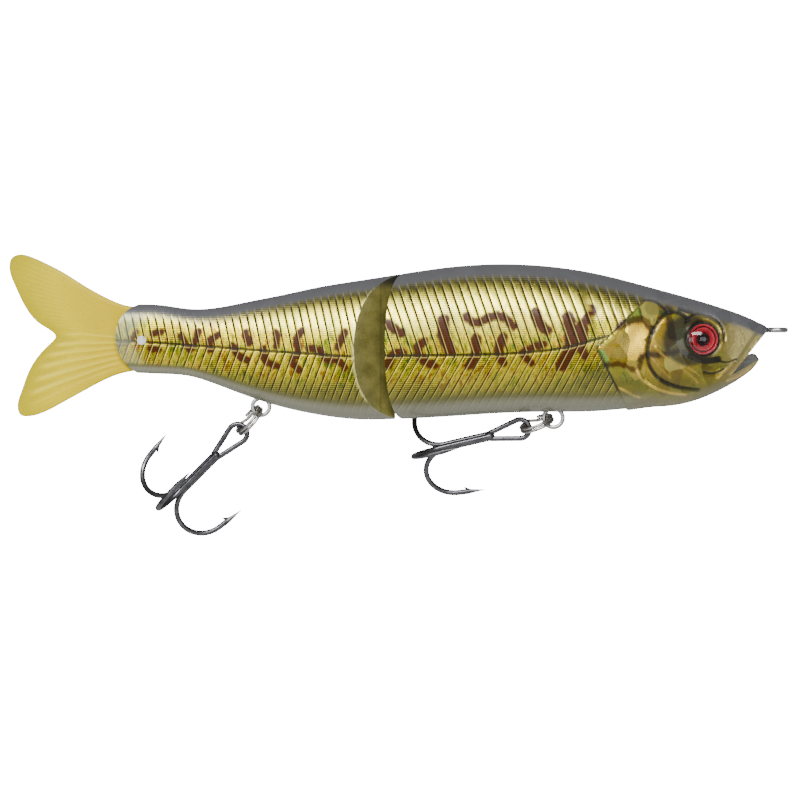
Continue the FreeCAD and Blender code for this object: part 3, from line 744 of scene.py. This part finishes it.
def foil_body(r, back, blotch, phase, over, level, shade):
    """Foil behind the gill cover: the scale lines, and the colour."""
    gold = r.colours(shade, [
        (0.10, (0.05, 0.11, 0.004)), (0.24, (0.24, 0.32, 0.008)), (0.36, (0.62, 0.47, 0.0)),
        (0.47, (1.0, 0.84, 0.02)), (0.57, (0.58, 0.42, 0.0)), (0.70, (0.34, 0.12, 0.002)),
    ])
    # painted highlight: a pale yellow band on the upper flank, above the side line
    body = r.mix(r.ramp(over, 2.5, 7.0) * 0.6, gold, (1.0, 0.91, 0.14))
    body = r.mix(r.ramp(over, -3.0, -9.5, 0.0, 0.85), body, (0.17, 0.165, 0.035))
    uneven = r.ramp(r.noise(r.place((90, 90, 90), (4, 2, 1)), 1.0, 2.0), 0.42, 0.62, 0.25, 0.85)
    body = r.mix(uneven, body, r.mix(1.0, body, level, "MULTIPLY"))
    # painted shade: the upper flank darkens towards the back, where it turns away from the light, with the
    # level lines still showing
    shade_under_back = r.mix(level, (0.030, 0.028, 0.018), (0.13, 0.12, 0.06))
    body = r.mix(r.ramp(back, 0.12, 0.62, 0.0, 0.85), body, shade_under_back)

    # marks, then the scale lines and the side line, each with a painted highlight along one edge
    mark = r.mix(r.ramp(level, 0.35, 1.0), (0.030, 0.006, 0.0), (0.085, 0.020, 0.0))
    body = r.mix(blotch, body, mark)
    signed = r.math("FRACT", phase + 0.5) - 0.5
    line = r.ramp(abs(signed), 0.115, 0.06)
    lit = r.ramp(abs(signed + 0.15), 0.06, 0.02)
    lateral = r.ramp(abs(over), 0.36, 0.20)
    below = r.ramp(abs(over + 0.55), 0.18, 0.06) * 0.6
    # painted highlight: pale gold just beside each scale line and just under the side line
    body = r.mix(r.most(lit, below) * 0.42, body, (1.0, 0.86, 0.22))
    return line, r.mix(r.most(line, lateral) * 0.9, body, (0.022, 0.018, 0.008))


def foil_head(r, x, z, blotch, bright, head, drift):
    """Broad prism patches of the head: the colour, and a normal that tilts each patch."""
    tone, tilt_x, tilt_z = r.cells(r.place((340, 260, 250), (0.3, 0.2, 0.1)))
    prism = r.colours(tone, [
        (0.0, (0.22, 0.15, 0.005)), (0.20, (0.80, 0.62, 0.02)), (0.36, (0.22, 0.36, 0.03)),
        (0.50, (1.0, 0.86, 0.16)), (0.64, (0.36, 0.22, 0.01)), (0.78, (0.62, 0.40, 0.01)),
        (0.92, (0.10, 0.24, 0.05)),
    ])
    slow = r.colours(drift, [
        (0.32, (0.10, 0.085, 0.012)), (0.5, (0.40, 0.32, 0.035)), (0.68, (0.16, 0.12, 0.015)),
    ])
    prism = r.mix(r.ramp(x, -26.0, -9.0, 0.22, 0.85), prism, slow)
    prism = r.mix(r.ramp(x, -14.0, -8.0, 0.0, 0.65), prism, (0.95, 0.80, 0.34))
    prism = r.mix(r.ramp(z, -7.5, -13.0, 0.0, 0.85), prism, (0.17, 0.145, 0.018))
    prism = r.mix(blotch * 0.9, prism, (0.028, 0.005, 0.0))
    # painted highlight: orange along the head's ridges
    prism = r.mix(bright * 0.65, prism, (0.95, 0.62, 0.10))
    return prism, r.bump((tilt_x - 0.5) * x + (tilt_z - 0.5) * z, 0.0005, head * 0.8)


def joint_plastic():
    """Bare olive moulding on the joint's faces."""
    r = Recipe("joint_plastic")
    at = r.place()
    x, y, z = r.split(at)
    colour = r.two_tone(r.noise(at, 0.35), (0.125, 0.112, 0.026), (0.215, 0.195, 0.052))
    seam = r.ramp(abs(abs(y) - 4.6), 0.22, 0.08)
    colour = r.mix(seam * 0.35, colour, (0.07, 0.062, 0.012))
    # darker towards the top of the face, by the back
    colour = r.mix(r.ramp(z, 8.2, 11.0, 0.0, 0.92), colour, (0.022, 0.022, 0.020))
    r.set(Base_Color=colour, Roughness=r.ramp(r.noise(at, 1.6, 4.0), 0.2, 0.8, 0.22, 0.4), Metallic=0.25)
    r.set(Normal=r.bump(r.noise(at, 0.9, 4.0), 0.0001, 0.25), Coat_Weight=0.6, Coat_Roughness=0.08)
    return r.material


def hollow_painted_shade():
    # near-black faces inside the mouth, the tongue's slot and the eye sockets: painted shade of the hollows
    r = Recipe("hollow_painted_shade")
    at = r.place()
    colour = r.two_tone(r.noise(at, 0.8), (0.010, 0.010, 0.008), (0.038, 0.036, 0.024))
    r.set(Base_Color=colour, Roughness=r.ramp(r.noise(at, 2.0, 2.0), 0.3, 0.7, 0.25, 0.45))
    r.set(Coat_Weight=0.5, Coat_Roughness=0.1)
    return r.material


def plated_wire(name, dark, light, rough):
    """Bright plated wire with drawing marks and a little tarnish."""
    r = Recipe(name)
    r.set(Base_Color=r.two_tone(r.noise(r.place(), 0.7, 5.0, 0.65), dark, light), Metallic=1.0)
    marks = r.noise(r.place((3000, 3000, 600)), 1.0, 4.0)
    r.set(Roughness=r.ramp(marks, 0.25, 0.75, rough, rough + 0.14))
    r.set(Normal=r.bump(r.noise(r.place((6000, 6000, 900))), 0.00002, 0.3))
    return r.material


def eye_look(side):
    """Way an eye faces."""
    turn = math.radians(EYE_TURN)
    return Vector((math.sin(turn), side * math.cos(turn), 0))


def eye_centre(side):
    """Middle of an eye's coloured disc, in millimetres."""
    low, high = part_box("eye_disc_left")
    middle = (low + high) / 2 / MM
    return Vector((middle.x, side * middle.y, middle.z))


def eye_print(side):
    """Red eye with a dark rim, an inner ring and a plain round pupil."""
    r = Recipe("eye_print_left" if side > 0 else "eye_print_right")
    x, y, z = r.split(r.place(shift=-eye_centre(side)))
    along = x * (1 / math.cos(math.radians(EYE_TURN)))
    share = r.math("SQRT", along * along + z * z) * (1 / EYE_RADIUS)
    colour = r.colours(share, [
        (0.0, (0.010, 0.008, 0.010)), (0.36, (0.014, 0.004, 0.006)), (0.41, (0.30, 0.002, 0.006)),
        (0.66, (0.60, 0.04, 0.06)), (0.70, (0.02, 0.001, 0.002)), (0.745, (0.02, 0.001, 0.002)),
        (0.78, (0.50, 0.003, 0.010)), (0.88, (0.76, 0.09, 0.12)), (0.93, (0.02, 0.001, 0.002)),
    ])
    sparkle = r.noise(r.place((2600, 2600, 2600)))
    colour = r.mix(0.35, colour, r.mix(1.0, colour, r.ramp(sparkle, 0.3, 0.8, 0.7, 1.3), "MULTIPLY"))
    r.set(Base_Color=colour, Metallic=0.35, Specular_IOR_Level=0.1)
    r.set(Roughness=r.ramp(sparkle, 0.3, 0.7, 0.35, 0.5))
    return r.material


def clear_lens():
    r = Recipe("clear_lens")
    r.set(Base_Color=(1, 0.93, 0.93, 1), Transmission_Weight=1.0, IOR=1.46)
    r.set(Roughness=r.ramp(r.noise(r.place(), 0.8, 2.0), 0.3, 0.7, 0.0, 0.02))
    return r.material


def soft_plastic():
    """Translucent amber soft plastic, deeper in colour where it is thick."""
    r = Recipe("soft_plastic")
    at = r.place()
    colour = r.colours(r.attribute("tail_depth"), [
        (0.0, (0.46, 0.36, 0.0)), (0.25, (0.62, 0.49, 0.0)), (0.5, (0.56, 0.42, 0.0)),
        (1.0, (0.52, 0.36, 0.0)),
    ])
    # painted highlight and shade: lighter yellow on the raised rays, so the grooves between them read darker
    colour = r.mix(r.attribute("tail_rays") * 0.45, colour, (0.84, 0.72, 0.03))
    colour = r.mix(r.ramp(r.noise(at, 0.22), 0.35, 0.7, 0.0, 0.25), colour, (0.66, 0.48, 0.0))
    r.set(Base_Color=colour, Roughness=r.ramp(r.noise(at, 0.8), 0.3, 0.7, 0.26, 0.38))
    r.set(Subsurface_Weight=0.2, Subsurface_Radius=(1.0, 0.6, 0.1), Subsurface_Scale=0.0012, IOR=1.38)
    r.set(Normal=r.bump(r.noise(r.place((400, 400, 2500))), 0.00005, 0.2), Specular_IOR_Level=0.15)
    return r.material


def ballast_metal():
    r = Recipe("ballast_metal")
    at = r.place()
    r.set(Base_Color=r.two_tone(r.noise(at, 0.6, 4.0), (0.16, 0.16, 0.17), (0.30, 0.30, 0.32)))
    r.set(Metallic=0.9, Roughness=r.ramp(r.noise(at, 1.4, 4.0), 0.3, 0.7, 0.45, 0.65))
    return r.material


def stage_white():
    return Recipe("stage_white").set(Base_Color=(0.86, 0.86, 0.86, 1), Roughness=0.7).material


# ---------------------------------------------------------------- settings

class SwimbaitBody(bpy.types.PropertyGroup):
    front_scale_pitch: bpy.props.FloatProperty(
        name="Front scale pitch", description="Step of the front section's scale lines, mm", default=1.92)
    rear_scale_pitch: bpy.props.FloatProperty(
        name="Rear scale pitch", description="Step of the rear section's scale lines, mm", default=1.72)
    hatch_pitch: bpy.props.FloatProperty(
        name="Hatch pitch", description="Step of the foil's level lines, mm", default=0.42)
    rows: bpy.props.IntProperty(name="Rows", description="Rows of the skin from back to belly", default=128)


class SwimbaitTail(bpy.types.PropertyGroup):
    root_half: bpy.props.FloatProperty(
        name="Root half thickness", description="Half thickness at the stem, mm", default=0.86)
    edge_half: bpy.props.FloatProperty(
        name="Edge half thickness", description="Half thickness at the rim, mm", default=0.26)
    rays: bpy.props.IntProperty(name="Rays", description="Fine rays across the whole fork", default=36)
    ridges: bpy.props.IntProperty(name="Ridges", description="Strong rays across the whole fork", default=14)


class SwimbaitStage(bpy.types.PropertyGroup):
    lens: bpy.props.FloatProperty(name="Lens", description="Focal length of the camera, mm", default=240.0)
    view_width: bpy.props.FloatProperty(
        name="View width", description="Width seen at the object, m", default=0.17684, subtype="DISTANCE")
    floor_drop: bpy.props.FloatProperty(
        name="Floor drop", description="Floor below the object's lowest point, m", default=0.090,
        subtype="DISTANCE")


# ---------------------------------------------------------------- pieces

def make_half(name, columns, front, foil):
    around = np.linspace(0, 1, bpy.context.scene.swimbait_body.rows)
    points, faces = half_skin_grid(columns, around, front, True)
    piece = new_piece(name, points, faces)
    piece.data.materials.append(foil)
    outward(piece)
    return piece


def hollow_out(piece, start, end, front, material):
    """Take the inner hollow out, one wall inside the skin."""
    points, faces = half_skin_grid(np.linspace(start, end, 26), np.linspace(0, 1, 25), front, False, WALL)
    inner = new_piece("hollow", points, faces)
    # the hollow reaches over the centre plane, so the half shell is open there
    for vertex in inner.data.vertices:
        if abs(vertex.co.y) < 1e-7:
            vertex.co.y = -0.5 * MM
    outward(inner)
    carve(piece, inner, material)


def mirrored(piece, name):
    """The same piece on the right side."""
    other = piece.copy()
    other.data = piece.data.copy()
    other.name = name
    bpy.context.collection.objects.link(other)
    select_only(other)
    other.scale.y = -1
    bpy.ops.object.transform_apply(location=False, rotation=False, scale=True)
    outward(other)
    return other


def finish_shell(piece, node, body):
    edit_all(piece)
    bpy.ops.mesh.remove_doubles(threshold=0.004 * MM)
    bpy.ops.mesh.delete_loose()
    bpy.ops.mesh.select_all(action="SELECT")
    bpy.ops.mesh.quads_convert_to_tris(ngon_method="BEAUTY")
    bpy.ops.object.mode_set(mode="OBJECT")
    bpy.ops.object.shade_smooth_by_angle(angle=math.radians(38))
    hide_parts(node)
    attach(piece, body)


class SWIMBAIT_OT_front_shells(bpy.types.Operator):
    """Build the two engraved half shells of the front section"""
    bl_idname = "swimbait.front_shells"
    bl_label = "Front shells"

    def execute(self, context):
        foil, plastic, mouth = foil_skin(), joint_plastic(), hollow_painted_shade()
        columns = column_places(0.0, FRONT_LENGTH + FRONT_OVERRUN, scale_pitch(True), 37.0)
        left = make_half("front_skin_left", columns, True, foil)
        turn = math.radians(CUP_ANGLE)
        start = HINGE_X + (KNUCKLE_RADIUS + JOINT_GAP) / math.cos(turn)
        slice_off(left, (start, 0, 0), (-math.cos(turn), -math.sin(turn), 0), plastic)
        hollow_out(left, HEAD_SOLID, FRONT_LENGTH - JOINT_SOLID, True, plastic)
        carve(left, self.mouth_cutter(self.wedge_outline(), TONGUE_HALF_WIDTH, 20.0), mouth)
        carve(left, self.mouth_cutter(self.slot_outline(), -1.0, TONGUE_HALF_WIDTH + 0.001), mouth)
        look = eye_look(1)
        carve(left, add_cutter_rod(eye_centre(1) + look * 2.0, EYE_RADIUS + EYE_ROOM, 4.62, look), mouth)
        right = mirrored(left, "front_skin_right")
        for piece, side in ((left, "left"), (right, "right")):
            paint_marks(piece, True)
            finish_shell(piece, "front_shell_" + side, "front_section")
        return {"FINISHED"}

    def beyond(self, edge):
        """Where the line from the mouth's corner over a lip ends, ahead of the nose."""
        reach = (MOUTH_CORNER[0] + PAST_NOSE) / (MOUTH_CORNER[0] - edge[0])
        return (-PAST_NOSE, MOUTH_CORNER[1] + reach * (edge[1] - MOUTH_CORNER[1]))

    def wedge_outline(self):
        return [MOUTH_CORNER, self.beyond(UPPER_LIP), self.beyond(LOWER_LIP)]

    def slot_outline(self):
        """The wedge less the tongue on the lower jaw."""
        slope = (LOWER_LIP[1] - MOUTH_CORNER[1]) / (MOUTH_CORNER[0] - LOWER_LIP[0])
        meet = (TONGUE_START, MOUTH_CORNER[1] + (MOUTH_CORNER[0] - TONGUE_START) * slope)
        return self.wedge_outline() + [meet] + list(TONGUE[5:0:-1])

    def mouth_cutter(self, outline, inner, outer):
        """Prism over a side outline, between two places across."""
        count = len(outline)
        points = [(NOSE_X - s, side, z) for side in (inner, outer) for s, z in outline]
        faces = [list(range(count)), list(range(2 * count - 1, count - 1, -1))]
        faces += [[i, (i + 1) % count, (i + 1) % count + count, i + count] for i in range(count)]
        cutter = new_piece("mouth_cutter", np.array(points) * MM, faces, smooth=False)
        outward(cutter)
        return cutter


class SWIMBAIT_OT_rear_shells(bpy.types.Operator):
    """Build the two engraved half shells of the rear section"""
    bl_idname = "swimbait.rear_shells"
    bl_label = "Rear shells"

    def execute(self, context):
        foil, plastic = bpy.data.materials["foil_skin"], bpy.data.materials["joint_plastic"]
        start = FRONT_LENGTH - REAR_OVERRUN
        columns = column_places(start, OUTLINE[-1, 0] - 0.01, scale_pitch(False), start)
        left = make_half("rear_skin_left", columns, False, foil)
        # raked face, then the rounded knuckle as a run of small flats
        for angle in np.linspace(WEDGE_ANGLE, 0, 7):
            turn = math.radians(angle)
            normal = (math.cos(turn), math.sin(turn), 0)
            point = (HINGE_X + KNUCKLE_RADIUS * normal[0], KNUCKLE_RADIUS * normal[1], 0)
            slice_off(left, point, normal, plastic)
        hollow_out(left, FRONT_LENGTH + JOINT_SOLID, OUTLINE[-1, 0] - STEM_SOLID, False, plastic)
        # slot for the tail: its root sits in a pocket, its wider part in an open cut at the stem's end
        side = context.scene.swimbait_tail.root_half + TAIL_ROOM
        root = STEM_END_X + STEM_BULGE
        for reach, low, high in ((5.4, -8.4, 4.3), (-0.3, -20, 20)):
            carve(left, add_cutter_box((STEM_END_X - 5, -2, low), (root + reach, side, high)), plastic)
        for node in ("hinge_eye_upper", "hinge_eye_lower"):
            low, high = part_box(node)
            level = (low.z + high.z) / 2 / MM
            seat = add_cutter_rod((HINGE_X, 0, level), KNUCKLE_RADIUS + HINGE_ROOM, HINGE_SLOT, (0, 0, 1))
            carve(left, seat, plastic)
        self.round_stem(left, foil)
        right = mirrored(left, "rear_skin_right")
        for piece, side in ((left, "left"), (right, "right")):
            paint_marks(piece, False)
            finish_shell(piece, "rear_shell_" + side, "rear_section")
        return {"FINISHED"}

    def round_stem(self, piece, foil):
        """Round the end of the stem in side view, a flat at a time."""
        top, bottom, _ = (value[0] for value in body_at(np.array([FRONT_LENGTH + REAR_LENGTH])))
        middle = (top + bottom) / 2 + STEM_RISE
        for reach, way in ((top - middle, 1), (middle - bottom, -1)):
            radius = (reach ** 2 + STEM_BULGE ** 2) / (2 * STEM_BULGE)
            for angle in np.linspace(0.06, math.asin(min(1, reach / radius)), 9):
                normal = (-math.cos(angle), 0, way * math.sin(angle))
                point = (STEM_END_X + radius + radius * normal[0], 0, middle + radius * normal[2])
                slice_off(piece, point, normal, foil)


class SWIMBAIT_OT_tail(bpy.types.Operator):
    """Build the soft forked tail with its rays"""
    bl_idname = "swimbait.tail"
    bl_label = "Soft tail"

    def execute(self, context):
        tail = context.scene.swimbait_tail
        rim = smooth_path(TAIL_TOP + TAIL_FORK + TAIL_LOW, 1200)
        upper = np.argmin(np.hypot(*(rim - TAIL_FORK[0]).T))
        lower = np.argmin(np.hypot(*(rim - TAIL_LOW[0]).T))
        root_edge = smooth_path((rim[0], rim[-1]), 90)
        plan = self.patch(rim[:upper + 1], rim[lower:][::-1], root_edge, rim[upper:lower + 1])
        plan[..., 0] -= NOSE_X
        points, faces, depth, rays = self.solid(plan, tail)
        piece = new_piece("soft_tail_fin", points, faces)
        for name, values in (("tail_depth", depth), ("tail_rays", rays)):
            piece.data.attributes.new(name, "FLOAT", "POINT").data.foreach_set("value", values)
        outward(piece)
        piece.data.materials.append(soft_plastic())
        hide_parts("soft_tail")
        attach(piece, "rear_section")
        return {"FINISHED"}

    def patch(self, top, low, root_edge, fork):
        """Even patch of points between the four edges: rows run from root to fork."""
        across = np.linspace(0, 1, 141)
        along = np.linspace(0, 1, 90)

        def even(path, at):
            run = np.concatenate([[0], np.cumsum(np.linalg.norm(np.diff(path, axis=0), axis=1))])
            run /= run[-1]
            return np.stack([np.interp(at, run, path[:, i]) for i in (0, 1)], -1)

        t, b = even(top, along)[:, None], even(low, along)[:, None]
        r, f = even(root_edge, across)[None], even(fork, across)[None]
        u, w = along[:, None, None], across[None, :, None]
        corners = (1 - u) * ((1 - w) * t[0] + w * b[0]) + u * ((1 - w) * t[-1] + w * b[-1])
        return (1 - w) * t + w * b + (1 - u) * r + u * f - corners

    def solid(self, plan, tail):
        """Two faces that meet along the rim, with raised rays."""
        rows, cols = plan.shape[:2]
        u = np.linspace(0, 1, rows)[:, None] * np.ones((1, cols))
        w = np.linspace(0, 1, cols)[None, :] * np.ones((rows, 1))
        rim = np.minimum(np.minimum(w, 1 - w) * 16, (1 - u) * 12)
        rim_fall = np.sqrt(np.clip(1 - (1 - np.clip(rim, 0, 1)) ** 2, 0, 1))
        thick = tail.root_half + (tail.edge_half - tail.root_half) * smoothstep(0.10, 1.0, u)
        lower = smoothstep(0.44, 0.56, w) * (1 - smoothstep(0.88, 0.95, w))
        fine = 0.22 * (0.5 + 0.5 * np.cos(w * 2 * math.pi * tail.rays))
        strong = (0.5 + 0.5 * np.cos(w * 2 * math.pi * tail.ridges)) ** 2
        rays = fine * (1 - lower) + strong * lower
        rays *= smoothstep(0.10, 0.3, u) * (1 - smoothstep(0.80, 0.97, u))
        half = (thick - 0.24 + 0.24 * rays) * rim_fall
        half[:, [0, -1]] = 0.0
        half[-1, :] = 0.0
        left = np.stack([-plan[..., 0], half, plan[..., 1]], -1)
        right = np.stack([-plan[..., 0], -half, plan[..., 1]], -1)
        index = np.arange(rows * cols).reshape(rows, cols)
        other = index + rows * cols
        for line in ((slice(None), 0), (slice(None), -1), (-1, slice(None))):
            other[line] = index[line]
        faces = quads(index).tolist() + quads(other)[:, ::-1].tolist()
        faces += [[index[0, i], index[0, i + 1], other[0, i + 1], other[0, i]] for i in range(1, cols - 2)]
        faces += [[index[0, 0], index[0, 1], other[0, 1]], [index[0, -2], index[0, -1], other[0, -2]]]
        points = np.concatenate([left.reshape(-1, 3), right.reshape(-1, 3)]) * MM
        depth = (half / tail.root_half).ravel()
        used = np.unique(np.concatenate([np.array(f) for f in faces]))
        back = np.full(len(points), -1)
        back[used] = np.arange(len(used))
        faces = [[int(back[v]) for v in f] for f in faces]
        values = np.concatenate([depth, depth])[used], np.concatenate([rays.ravel(), rays.ravel()])[used]
        return points[used], faces, values[0], values[1]


class SWIMBAIT_OT_fittings(bpy.types.Operator):
    """Give the wire, hooks, rings, pins, eyes and ballast their finishes"""
    bl_idname = "swimbait.fittings"
    bl_label = "Fittings"

    def execute(self, context):
        bright = plated_wire("bright_wire", (0.30, 0.30, 0.30), (0.62, 0.62, 0.60), 0.2)
        ring = plated_wire("nickel_ring", (0.26, 0.25, 0.24), (0.56, 0.54, 0.51), 0.2)
        black = plated_wire("black_nickel", (0.06, 0.06, 0.065), (0.16, 0.16, 0.17), 0.2)
        pin = plated_wire("cut_pin", (0.62, 0.62, 0.60), (0.85, 0.85, 0.83), 0.3)
        lens = clear_lens()
        finishes = {
            "line_tie": bright, "hinge_eye_upper": bright, "hinge_eye_lower": bright, "hinge_pin": bright,
            "front_hook_hanger": bright, "rear_hook_hanger": bright, "tail_pin": pin,
            "front_split_ring": ring, "rear_split_ring": ring,
            "front_treble_hook": black, "rear_treble_hook": black,
            "front_belly_weight": ballast_metal(), "rear_belly_weight": ballast_metal(),
            "eye_disc_left": eye_print(1), "eye_disc_right": eye_print(-1),
            "eye_lens_left": lens, "eye_lens_right": lens,
        }
        for node, side in (("eye_lens_left", 1), ("eye_lens_right", -1)):
            self.lens_copy(node, side, lens)
        for node, material in finishes.items():
            piece = frame["nodes"][node]
            piece.data.materials.clear()
            piece.data.materials.append(material)
        return {"FINISHED"}

    def lens_copy(self, node, side, material):
        """Smooth copy of a lens, its flat back set into the disc so no air is left between them."""
        source = frame["nodes"][node]
        piece = source.copy()
        piece.data = source.data.copy()
        piece.name = node + "_dome"
        bpy.context.collection.objects.link(piece)
        piece.data.materials.clear()
        piece.data.materials.append(material)
        edit_all(piece)
        bpy.ops.mesh.remove_doubles(threshold=1e-7)
        bpy.ops.object.mode_set(mode="OBJECT")
        look = eye_look(side)
        floor = min(vertex.co.dot(look) for vertex in piece.data.vertices)
        for vertex in piece.data.vertices:
            if vertex.co.dot(look) < floor + 0.01 * MM:
                vertex.co -= look * 0.04 * MM
        bpy.ops.object.shade_smooth_by_angle(angle=math.radians(40))
        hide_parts(node)
        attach(piece, "front_section")


class SWIMBAIT_OT_stage(bpy.types.Operator):
    """Set the floor, the studio light and the camera"""
    bl_idname = "swimbait.stage"
    bl_label = "Stage"

    def execute(self, context):
        stage = context.scene.swimbait_stage
        low, high = CAD_BOX
        bpy.ops.object.select_all(action="DESELECT")
        middle = Vector(((low.x + high.x) / 2, 0, (low.z + high.z) / 2))
        bpy.ops.mesh.primitive_plane_add(size=0.44, location=(middle.x, 0, low.z - stage.floor_drop))
        floor = context.active_object
        floor.name = "floor"
        floor.data.materials.append(stage_white())
        self.world(context)
        self.light("key", middle + Vector((-0.14, -0.76, 0.46)), middle, (0.80, 0.26), 13.0)
        self.light("front", middle + Vector((0.30, -0.85, 0.02)), middle, (0.50, 0.30), 1.3)
        self.light("side", middle + Vector((-0.55, -0.70, -0.02)), middle, (0.40, 0.40), 1.8)
        self.camera(context, stage)
        return {"FINISHED"}

    def world(self, context):
        world = bpy.data.worlds.new("studio")
        context.scene.world = world
        world.use_nodes = True
        nodes, links = world.node_tree.nodes, world.node_tree.links
        ground = nodes["Background"]
        ground.inputs[0].default_value = (0.93, 0.94, 0.96, 1)
        ground.inputs[1].default_value = 0.27
        seen = nodes.new("ShaderNodeBackground")
        seen.inputs[0].default_value = (1, 1, 1, 1)
        seen.inputs[1].default_value = 20.0
        path = nodes.new("ShaderNodeLightPath")
        mix = nodes.new("ShaderNodeMixShader")
        links.new(path.outputs["Is Camera Ray"], mix.inputs[0])
        links.new(ground.outputs[0], mix.inputs[1])
        links.new(seen.outputs[0], mix.inputs[2])
        links.new(mix.outputs[0], nodes["World Output"].inputs[0])

    def light(self, name, place, target, size, power):
        data = bpy.data.lights.new(name, "AREA")
        data.shape = "RECTANGLE"
        data.size, data.size_y = size
        data.energy = power
        lamp = bpy.data.objects.new(name, data)
        bpy.context.collection.objects.link(lamp)
        lamp.location = place
        lamp.rotation_euler = (target - place).to_track_quat("-Z", "Y").to_euler()

    def camera(self, context, stage):
        data = bpy.data.cameras.new("camera")
        data.lens = stage.lens
        data.sensor_width = 36.0
        data.clip_start = 0.01
        camera = bpy.data.objects.new("camera", data)
        context.collection.objects.link(camera)
        distance = stage.view_width * stage.lens / data.sensor_width
        camera.location = ((NOSE_X - VIEW_MIDDLE[0]) * MM, -distance, VIEW_MIDDLE[1] * MM)
        camera.rotation_euler = (math.pi / 2, 0, 0)
        context.scene.camera = camera


class SWIMBAIT_PT_panel(bpy.types.Panel):
    """Sidebar panel of the swimbait finish"""
    bl_idname = "SWIMBAIT_PT_panel"
    bl_label = "Swimbait Finish"
    bl_space_type = "VIEW_3D"
    bl_region_type = "UI"
    bl_category = "Swimbait"

    def draw(self, context):
        for operator in OPERATORS:
            self.layout.operator(operator.bl_idname)


OPERATORS = (SWIMBAIT_OT_front_shells, SWIMBAIT_OT_rear_shells, SWIMBAIT_OT_tail, SWIMBAIT_OT_fittings,
             SWIMBAIT_OT_stage)
SETTINGS = {"swimbait_body": SwimbaitBody, "swimbait_tail": SwimbaitTail, "swimbait_stage": SwimbaitStage}


def register():
    for name, group in SETTINGS.items():
        bpy.utils.register_class(group)
        setattr(bpy.types.Scene, name, bpy.props.PointerProperty(type=group))
    for entry in OPERATORS + (SWIMBAIT_PT_panel,):
        bpy.utils.register_class(entry)


def unregister():
    for entry in reversed(OPERATORS + (SWIMBAIT_PT_panel,)):
        bpy.utils.unregister_class(entry)
    for name, group in SETTINGS.items():
        delattr(bpy.types.Scene, name)
        bpy.utils.unregister_class(group)


def main():
    register()
    bpy.ops.swimbait.front_shells()
    bpy.ops.swimbait.rear_shells()
    bpy.ops.swimbait.tail()
    bpy.ops.swimbait.fittings()
    bpy.ops.swimbait.stage()


if __name__ == "__main__":
    main()
